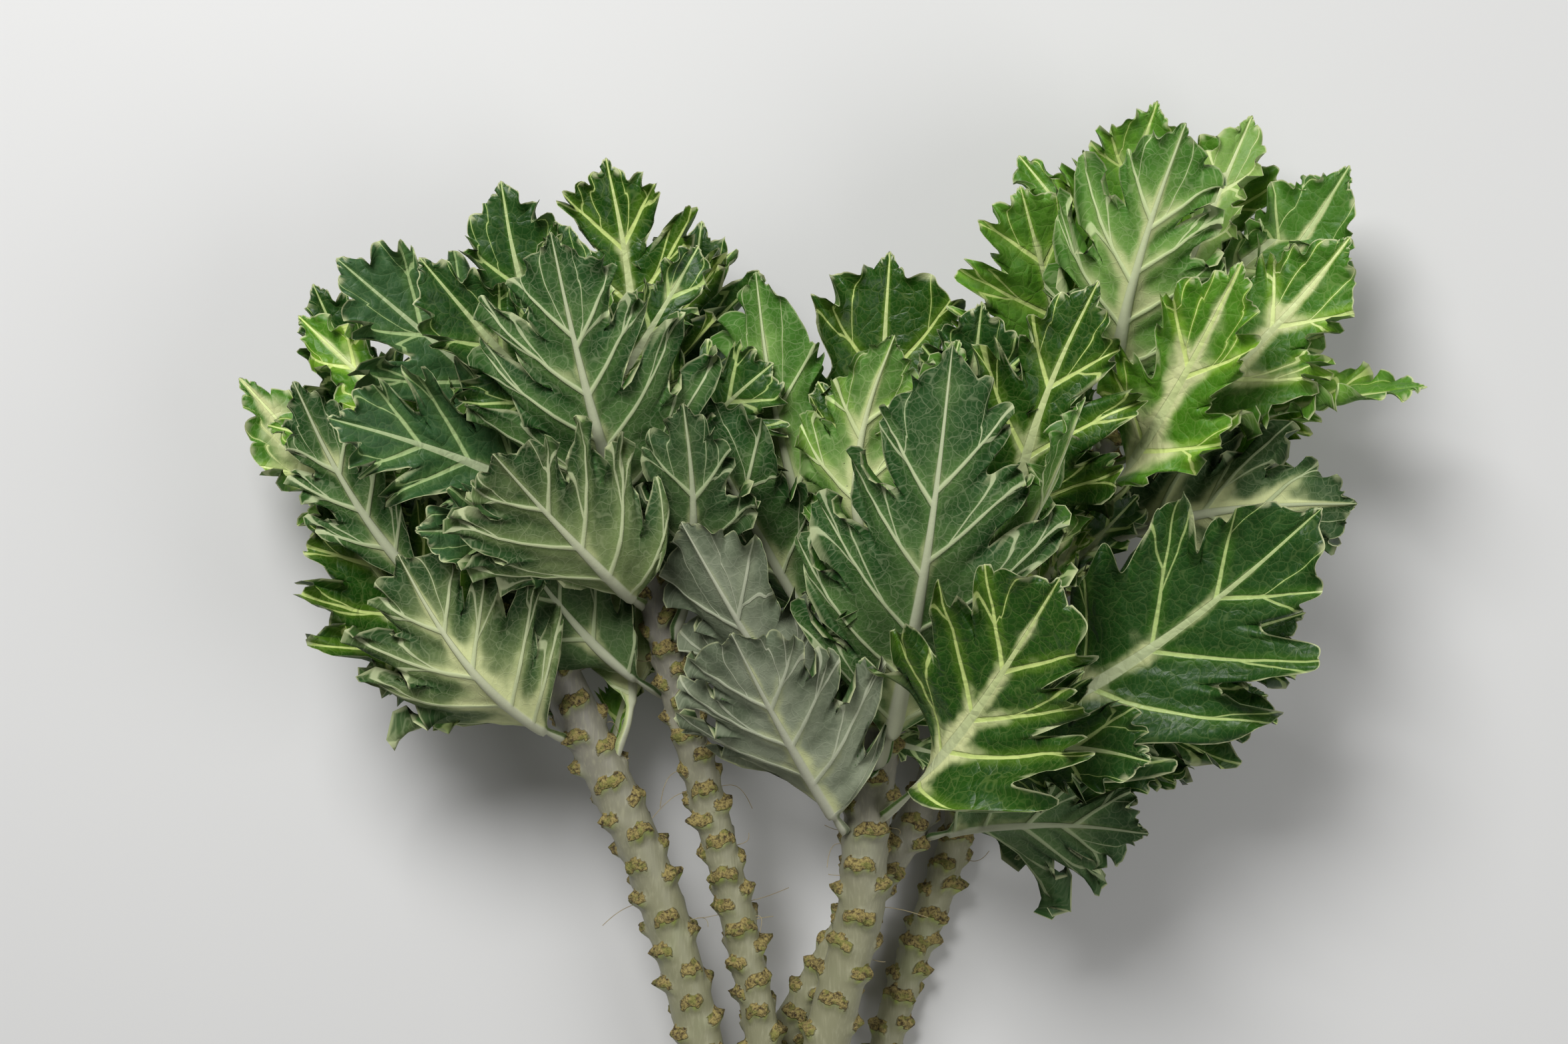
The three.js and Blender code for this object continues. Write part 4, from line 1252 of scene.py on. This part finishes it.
def stem_finish():
    finish = Finish("stem skin")
    place = finish.vector("place")
    cork, green, height = finish.numbers("scar")
    share, inward, _ = finish.numbers("run")
    cloud = finish.noise(place, 26, 3)
    grain = finish.noise(place, 1.6, 4, 0.65)
    stretched = finish.node("ShaderNodeVectorMath", {"operation": "MULTIPLY"}, [place, (1, 0.12, 1)])
    fibre = finish.noise(stretched, 1.1, 2)

    skin = finish.mix((share * 1.9 - 0.75 + cloud * 0.5).rise(0.1, 0.9), LOWER_SKIN, UPPER_SKIN)
    skin = finish.mix(fibre.rise(0.45, 0.8) * 0.35, skin, PALE_FIBRE)
    skin = finish.mix(cloud.rise(0.55, 0.75) * 0.35, skin, GREEN_SKIN)
    skin = finish.mix(green * (height * 0.35).at_most(1) * 0.8, skin, GREEN_LEDGE)
    bark = finish.mix(grain.rise(0.33, 0.62), CORK_CRACK, CORK)
    bark = finish.mix(finish.noise(place, 5, 2).rise(0.5, 0.65) * 0.6, bark, OLIVE_CORK)
    corky = (cork * 1.3 + grain * 0.5 - 0.35).rise(0.25, 0.5)
    colour = finish.mix(corky, skin, bark)

    ring = inward + grain * 0.1
    wood = finish.mix(ring.rise(0.40, 0.50), WOOD, PITH)
    wood = finish.mix(ring.rise(0.28, 0.22), wood, RIND)
    colour = finish.mix(inward.rise(0.0, 0.04), colour, wood)
    relief = corky * grain * 1.6 + fibre * 0.12
    finish.set(Base_Color=colour, Roughness=corky * 0.35 + fibre * 0.12 + 0.44)
    finish.set(Normal=finish.bump(relief, STEM_RELIEF))
    return finish.material


skin_finish = stem_finish()
stem_lines = {}
stem_radii = {}
faces = 0
for seed, node in enumerate(stem_nodes, start=100):
    mesh, line, radius = stem_mesh(node, np.random.default_rng(seed))
    stem_lines[node] = line
    stem_radii[node] = radius
    faces += len(mesh.polygons)
    piece = add_piece(f"kale_{node}", mesh, skin_finish)
    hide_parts(node)
print("made", len(stem_nodes), "stems of", faces, "faces in all")

# %% [markdown] ## Fibres  Where leaves were torn off, a few hair-thin threads of the stem are
# left.

# %% Add the torn fibres
FIBRE_RADIUS = 0.16
FIBRE_POINTS = 9
FIBRE_STEMS = (0.25, 0.72)  # the shares of a stem between which it has fibres
FIBRE_REACHES = (6, 15)
FIBRE_START = 0.7  # below 1, fibres leave the stem fast and then slow down
FIBRE_DROOP = np.array([4, 7, 3])
FIBRE_GRAIN = 4 * MM
FIBRE_COLOURS = ((0.16, 0.11, 0.045), (0.42, 0.36, 0.20))
FIBRES = {"stem_a": 5, "stem_b": 12, "stem_c": 6, "stem_e": 5}


def fibre_lines(line, radius, count, rng):
    """A few wavy lines that leave the side of a stem."""
    _, across, _ = carried_frames(line)
    first, last = (int(share * len(line)) for share in FIBRE_STEMS)
    share = np.linspace(0, 1, FIBRE_POINTS)[:, None]
    for _ in range(count):
        i = rng.integers(first, last)
        out = across[i] * rng.choice([-1, 1])
        droop = rng.normal(0, 1, 3) * FIBRE_DROOP
        reach = rng.uniform(*FIBRE_REACHES)
        away = radius[i] - SKIN_INSET + reach * share**FIBRE_START
        yield line[i] + out * away + droop * share**2


def tube_mesh(name, lines, thickness):
    curve = bpy.data.curves.new(name, "CURVE")
    curve.dimensions = "3D"
    curve.bevel_depth = thickness * MM
    curve.bevel_resolution = 0
    curve.resolution_u = 3
    for points in lines:
        spline = curve.splines.new("NURBS")
        spline.points.add(len(points) - 1)
        spline.points.foreach_set("co", np.column_stack([points * MM, np.ones(len(points))]).ravel())
        spline.use_endpoint_u = True
    holder = bpy.data.objects.new(name, curve)
    mesh = bpy.data.meshes.new_from_object(holder)
    bpy.data.objects.remove(holder)
    mesh.materials.clear()
    return mesh


def fibre_finish():
    finish = Finish("torn fibre")
    place = finish.node("ShaderNodeTexCoord", {}, {}, "Object")
    shade = finish.noise(place, FIBRE_GRAIN, 2)
    finish.set(Base_Color=finish.mix(shade, *FIBRE_COLOURS), Roughness=0.6)
    return finish.material


thread_finish = fibre_finish()
rng = np.random.default_rng(5)
for node in FIBRES:
    lines = fibre_lines(stem_lines[node], stem_radii[node], FIBRES[node], rng)
    threads = tube_mesh(f"{node}_fibres", lines, FIBRE_RADIUS)
    add_piece(f"{node}_fibres", threads, thread_finish)
print("made", sum(FIBRES.values()), "fibres")

# %% [markdown]
# ## Young leaves
#
# Round the tip of each stem stand its youngest leaves, still short and tightly frilled, and a few
# side shoots fill the gaps lower down. The construction has no solids for them, so each one is
# placed from its stem: how far along it stands, which way it heads, how steeply it rises. They
# use the same leaf maker, on a small bent sheet instead of one read from a solid. Scattering
# them at random would be less work, but a list puts one in each gap that a viewer sees.

# %% List the side shoots
Shoot = namedtuple("Shoot", "stem along heading lift roll bend length width look cream")
# Angles are in degrees and lengths in millimetres. A heading of 0 is the way the stems grow, and
# larger ones turn to the right.
SHOOTS = [
    Shoot("a", 0.99, -47, 12, 0, 30, 106, 42, "yellow", 0.45),
    Shoot("a", 0.97, -66, 14, 20, 30, 98, 38, "bright", 0.30),
    Shoot("a", 0.90, -20, 20, -20, 40, 78, 40, "dark", 0.20),
    Shoot("b", 0.99, -62, 30, 0, 45, 74, 38, "dark", 0.35),
    Shoot("b", 0.98, -84, 26, 15, 40, 66, 34, "cream", 0.50),
    Shoot("b", 0.97, -25, 34, -10, 50, 84, 36, "dark", 0.30),
    Shoot("b", 0.99, 35, 28, 10, 40, 70, 38, "dark", 0.20),
    Shoot("b", 0.93, 70, 24, 0, 40, 62, 40, "dusky", 0.10),
    Shoot("b", 0.76, 60, -10, 0, 30, 50, 30, "bright", 0.20),
    Shoot("b", 0.88, 52, 30, -20, 55, 66, 32, "blue", 0.15),
    Shoot("b", 0.84, 88, 14, 10, 40, 52, 30, "dark", 0.15),
    Shoot("a", 0.86, 40, 26, 0, 50, 60, 34, "dark", 0.15),
    Shoot("a", 0.80, -75, 4, 0, 30, 66, 34, "bright", 0.35),
    Shoot("c", 0.72, -24, 26, 10, 50, 64, 34, "dusky", 0.10),
    Shoot("c", 0.76, -8, 30, -25, 55, 66, 32, "blue", 0.10),
    Shoot("c", 0.68, 62, 22, 10, 40, 44, 26, "dark", 0.15),
    Shoot("c", 0.67, 104, 14, 0, 35, 40, 24, "dusky", 0.10),
    Shoot("c", 0.98, -30, 22, 0, 40, 78, 40, "veined", 0.30),
    Shoot("c", 0.99, 15, 20, 0, 40, 86, 44, "fresh", 0.35),
    Shoot("c", 0.84, 58, 30, 15, 50, 60, 34, "veined", 0.30),
    Shoot("c", 0.88, -40, 30, 0, 45, 64, 34, "fresh", 0.30),
    Shoot("d", 0.99, 6, 30, -12, 35, 92, 46, "fresh", 0.42),
    Shoot("d", 0.97, 45, 10, 0, 30, 62, 38, "dark", 0.15),
    Shoot("d", 0.95, 28, 30, 30, 50, 66, 32, "cream", 0.45),
    Shoot("d", 0.82, 70, 16, 0, 45, 62, 36, "blue", 0.20),
    Shoot("e", 0.80, -40, 30, 0, 50, 60, 34, "yellow", 0.50),
    Shoot("e", 0.86, 84, 6, 0, 30, 62, 40, "dark", 0.15),
    Shoot("e", 0.99, -45, 38, 0, 45, 52, 34, "cream", 0.65),
    Shoot("e", 0.99, -38, 14, 0, 25, 98, 40, "bright", 0.25),
    Shoot("e", 0.99, 52, 8, 0, 25, 112, 42, "fresh", 0.30),
    Shoot("e", 0.99, 24, 18, 0, 30, 104, 40, "pale", 0.30),
    Shoot("e", 0.91, 84, 28, 0, 40, 74, 44, "cream", 0.95),
]
print(len(SHOOTS), "side shoots on", len({shoot.stem for shoot in SHOOTS}), "stems")

# %% [markdown]
# ## Hearts
#
# The youngest leaves of all stand round each tip, and nobody could tell them apart. So these are
# made by a loop: each one turns on from the last by the golden angle, as the scars do, and is a
# little longer.

# %% Add the hearts
HEART_LEAVES = 6  # round each tip
HEART_PLACE = 0.99  # along the stem
HEART_SPREAD = 0.6  # of a full turn, so that none of them points back down the stem
HEART_STRAY = 20  # how far the heading of a leaf strays from the spiral
HEART_ROLL = 25
HEART_LIFT = 32
HEART_BEND = 50
HEART_LENGTH = 26  # of the first leaf of a heart; each next one is longer by a step
HEART_STEP = 5
LENGTH_STRAY = 3
HEART_WIDTH = 0.55  # of the length
HEART_LOOKS = ("cream", "yellow", "fresh")  # two leaves of each, from the middle outward
HEART_CREAM = 0.5

rng = np.random.default_rng(7)
hearts = []
for stem in "abcde":
    for k in range(HEART_LEAVES):
        stray = rng.uniform(-HEART_STRAY, HEART_STRAY)
        heading = (math.degrees(GOLDEN_ANGLE) * k + stray + 180) % 360 - 180
        length = HEART_LENGTH + HEART_STEP * k + rng.uniform(-LENGTH_STRAY, LENGTH_STRAY)
        roll = HEART_ROLL * math.sin(math.radians(heading))
        heading *= HEART_SPREAD
        aim = (heading, HEART_LIFT, roll, HEART_BEND)
        size = (length, length * HEART_WIDTH)
        hearts.append(Shoot(stem, HEART_PLACE, *aim, *size, HEART_LOOKS[k // 2], HEART_CREAM))
print(len(hearts), "heart leaves, the longest", round(max(h.length for h in hearts)), "mm")

# %% Make the young leaves
YOUNG_CUP = 28  # how steeply the margins of a young leaf stand up, in degrees
YOUNG_FINE = (1.4, 8)
YOUNG_ROWS = 9
YOUNG_COLUMNS = (-1, -0.5, 0, 0.5, 1)
YOUNG_EDGE = {"laterals": 3, "depth": 0.36, "teeth": 3, "curl": 0.95, "stalk": 0.14}
FIRST_YOUNG_SEED = 201


def young_rows(foot, shoot):
    """Nine rows of five points for a young leaf. It bends over backward from its foot on."""
    heading, lift, roll = (math.radians(angle) for angle in (shoot.heading, shoot.lift, shoot.roll))
    level = math.cos(lift)
    aim = np.array([math.sin(heading) * level, math.cos(heading) * level, math.sin(lift)])
    face = unit(np.array([0, 0, 1]) - aim * aim[2])
    face = face * math.cos(roll) + np.cross(aim, face) * math.sin(roll)
    side = np.cross(aim, face)
    share = np.linspace(0, 1, YOUNG_ROWS)[:, None]
    turn = math.radians(shoot.bend) * share
    steps = (aim * np.cos(turn) - face * np.sin(turn)) * shoot.length / (YOUNG_ROWS - 1)
    middle = foot + np.cumsum(steps, axis=0) - steps[0]
    normals = face * np.cos(turn) + aim * np.sin(turn)
    # A young leaf is narrow at its foot, widest well past its middle and rounded at its tip.
    outline = np.sin(np.pi * (0.10 + 0.80 * share)) ** 0.8 * (0.45 + 0.55 * share)
    half_width = 0.5 * shoot.width * outline
    rows = []
    for across in YOUNG_COLUMNS:
        rise = math.radians(YOUNG_CUP) * abs(across)
        out = across * math.cos(rise) * side + abs(across) * math.sin(rise) * normals
        rows.append(middle + half_width * out)
    return np.stack(rows, axis=1)


young_finishes = {}
for number, shoot in enumerate([*SHOOTS, *hearts]):
    kind = (shoot.look, shoot.cream)
    if kind not in young_finishes:
        name = f"young {shoot.look} {shoot.cream}"
        young_finishes[kind] = leaf_finish(name, LOOKS[shoot.look], shoot.cream)
    line = stem_lines[f"stem_{shoot.stem}"]
    rows = young_rows(line[round(shoot.along * (len(line) - 1))], shoot)
    leaf = Leaf(shoot.look, **YOUNG_EDGE, cream=shoot.cream)
    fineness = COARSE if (number >= len(SHOOTS)) else YOUNG_FINE
    name = f"young_leaf_{number + 1:02d}"
    make_leaf(name, rows, leaf, FIRST_YOUNG_SEED + number, fineness, young_finishes[kind])
print("made", len(SHOOTS) + len(hearts), "young leaves with", len(young_finishes), "finishes")

# %% [markdown]
# ## The table
#
# The bunch lies on a plain, pale table, so large that its edges are never in view. A faint cloud
# of noise in its colour keeps it from looking like empty paper.

# %% Set the stage
TABLE_SIZE = 12
TABLE_COLOURS = ((0.62, 0.62, 0.615), (0.59, 0.59, 0.585))
CLOUD_SIZE = 0.35


def table_finish():
    finish = Finish("table")
    place = finish.node("ShaderNodeTexCoord", {}, {}, "Object")
    cloud = finish.noise(place, CLOUD_SIZE, 3)
    finish.set(Base_Color=finish.mix(cloud * 0.5, *TABLE_COLOURS), Roughness=0.6)
    return finish.material


table_mesh = bpy.data.meshes.new("table")
half = TABLE_SIZE / 2
table_corners = [(-half, -half, 0), (half, -half, 0), (half, half, 0), (-half, half, 0)]
table_mesh.from_pydata(table_corners, [], [(0, 1, 2, 3)])
table_mesh.materials.append(table_finish())
table = bpy.data.objects.new("table", table_mesh)
bpy.context.scene.collection.objects.link(table)
print("the table is", TABLE_SIZE, "m wide")

# %% [markdown]
# ## The light
#
# Wide lamps give soft shadows, and the waxy leaves show them as broad, dull highlights. A single
# lamp would leave the gaps between the leaves black, so a weaker one faces it and a dim sky
# fills in from all sides. A picture of a sky would light them too, but it is one more file.

# %% Light it
SKY_COLOUR = (1.0, 0.99, 0.96, 1)
SKY_STRENGTH = 0.17


def soft_lamp(name, place, size, power):
    lamp_data = bpy.data.lights.new(name, "AREA")
    lamp_data.shape = "DISK"
    lamp_data.size = size
    lamp_data.energy = power
    lamp = bpy.data.objects.new(name, lamp_data)
    lamp.location = place
    lamp.rotation_mode = "QUATERNION"
    lamp.rotation_quaternion = (-Vector(place)).to_track_quat("-Z", "Y")
    bpy.context.scene.collection.objects.link(lamp)


soft_lamp("main lamp", (-0.6, 1.2, 1.8), size=1.1, power=51)
soft_lamp("side lamp", (1.4, -0.3, 1.5), size=1.4, power=13)
sky = bpy.data.worlds.new("sky")
sky.use_nodes = True
background = sky.node_tree.nodes["Background"]
background.inputs["Color"].default_value = SKY_COLOUR
background.inputs["Strength"].default_value = SKY_STRENGTH
bpy.context.scene.world = sky
bpy.context.scene.view_settings.view_transform = "Standard"
print("lit by", len(bpy.data.lights), "lamps and a sky")

# %% [markdown]
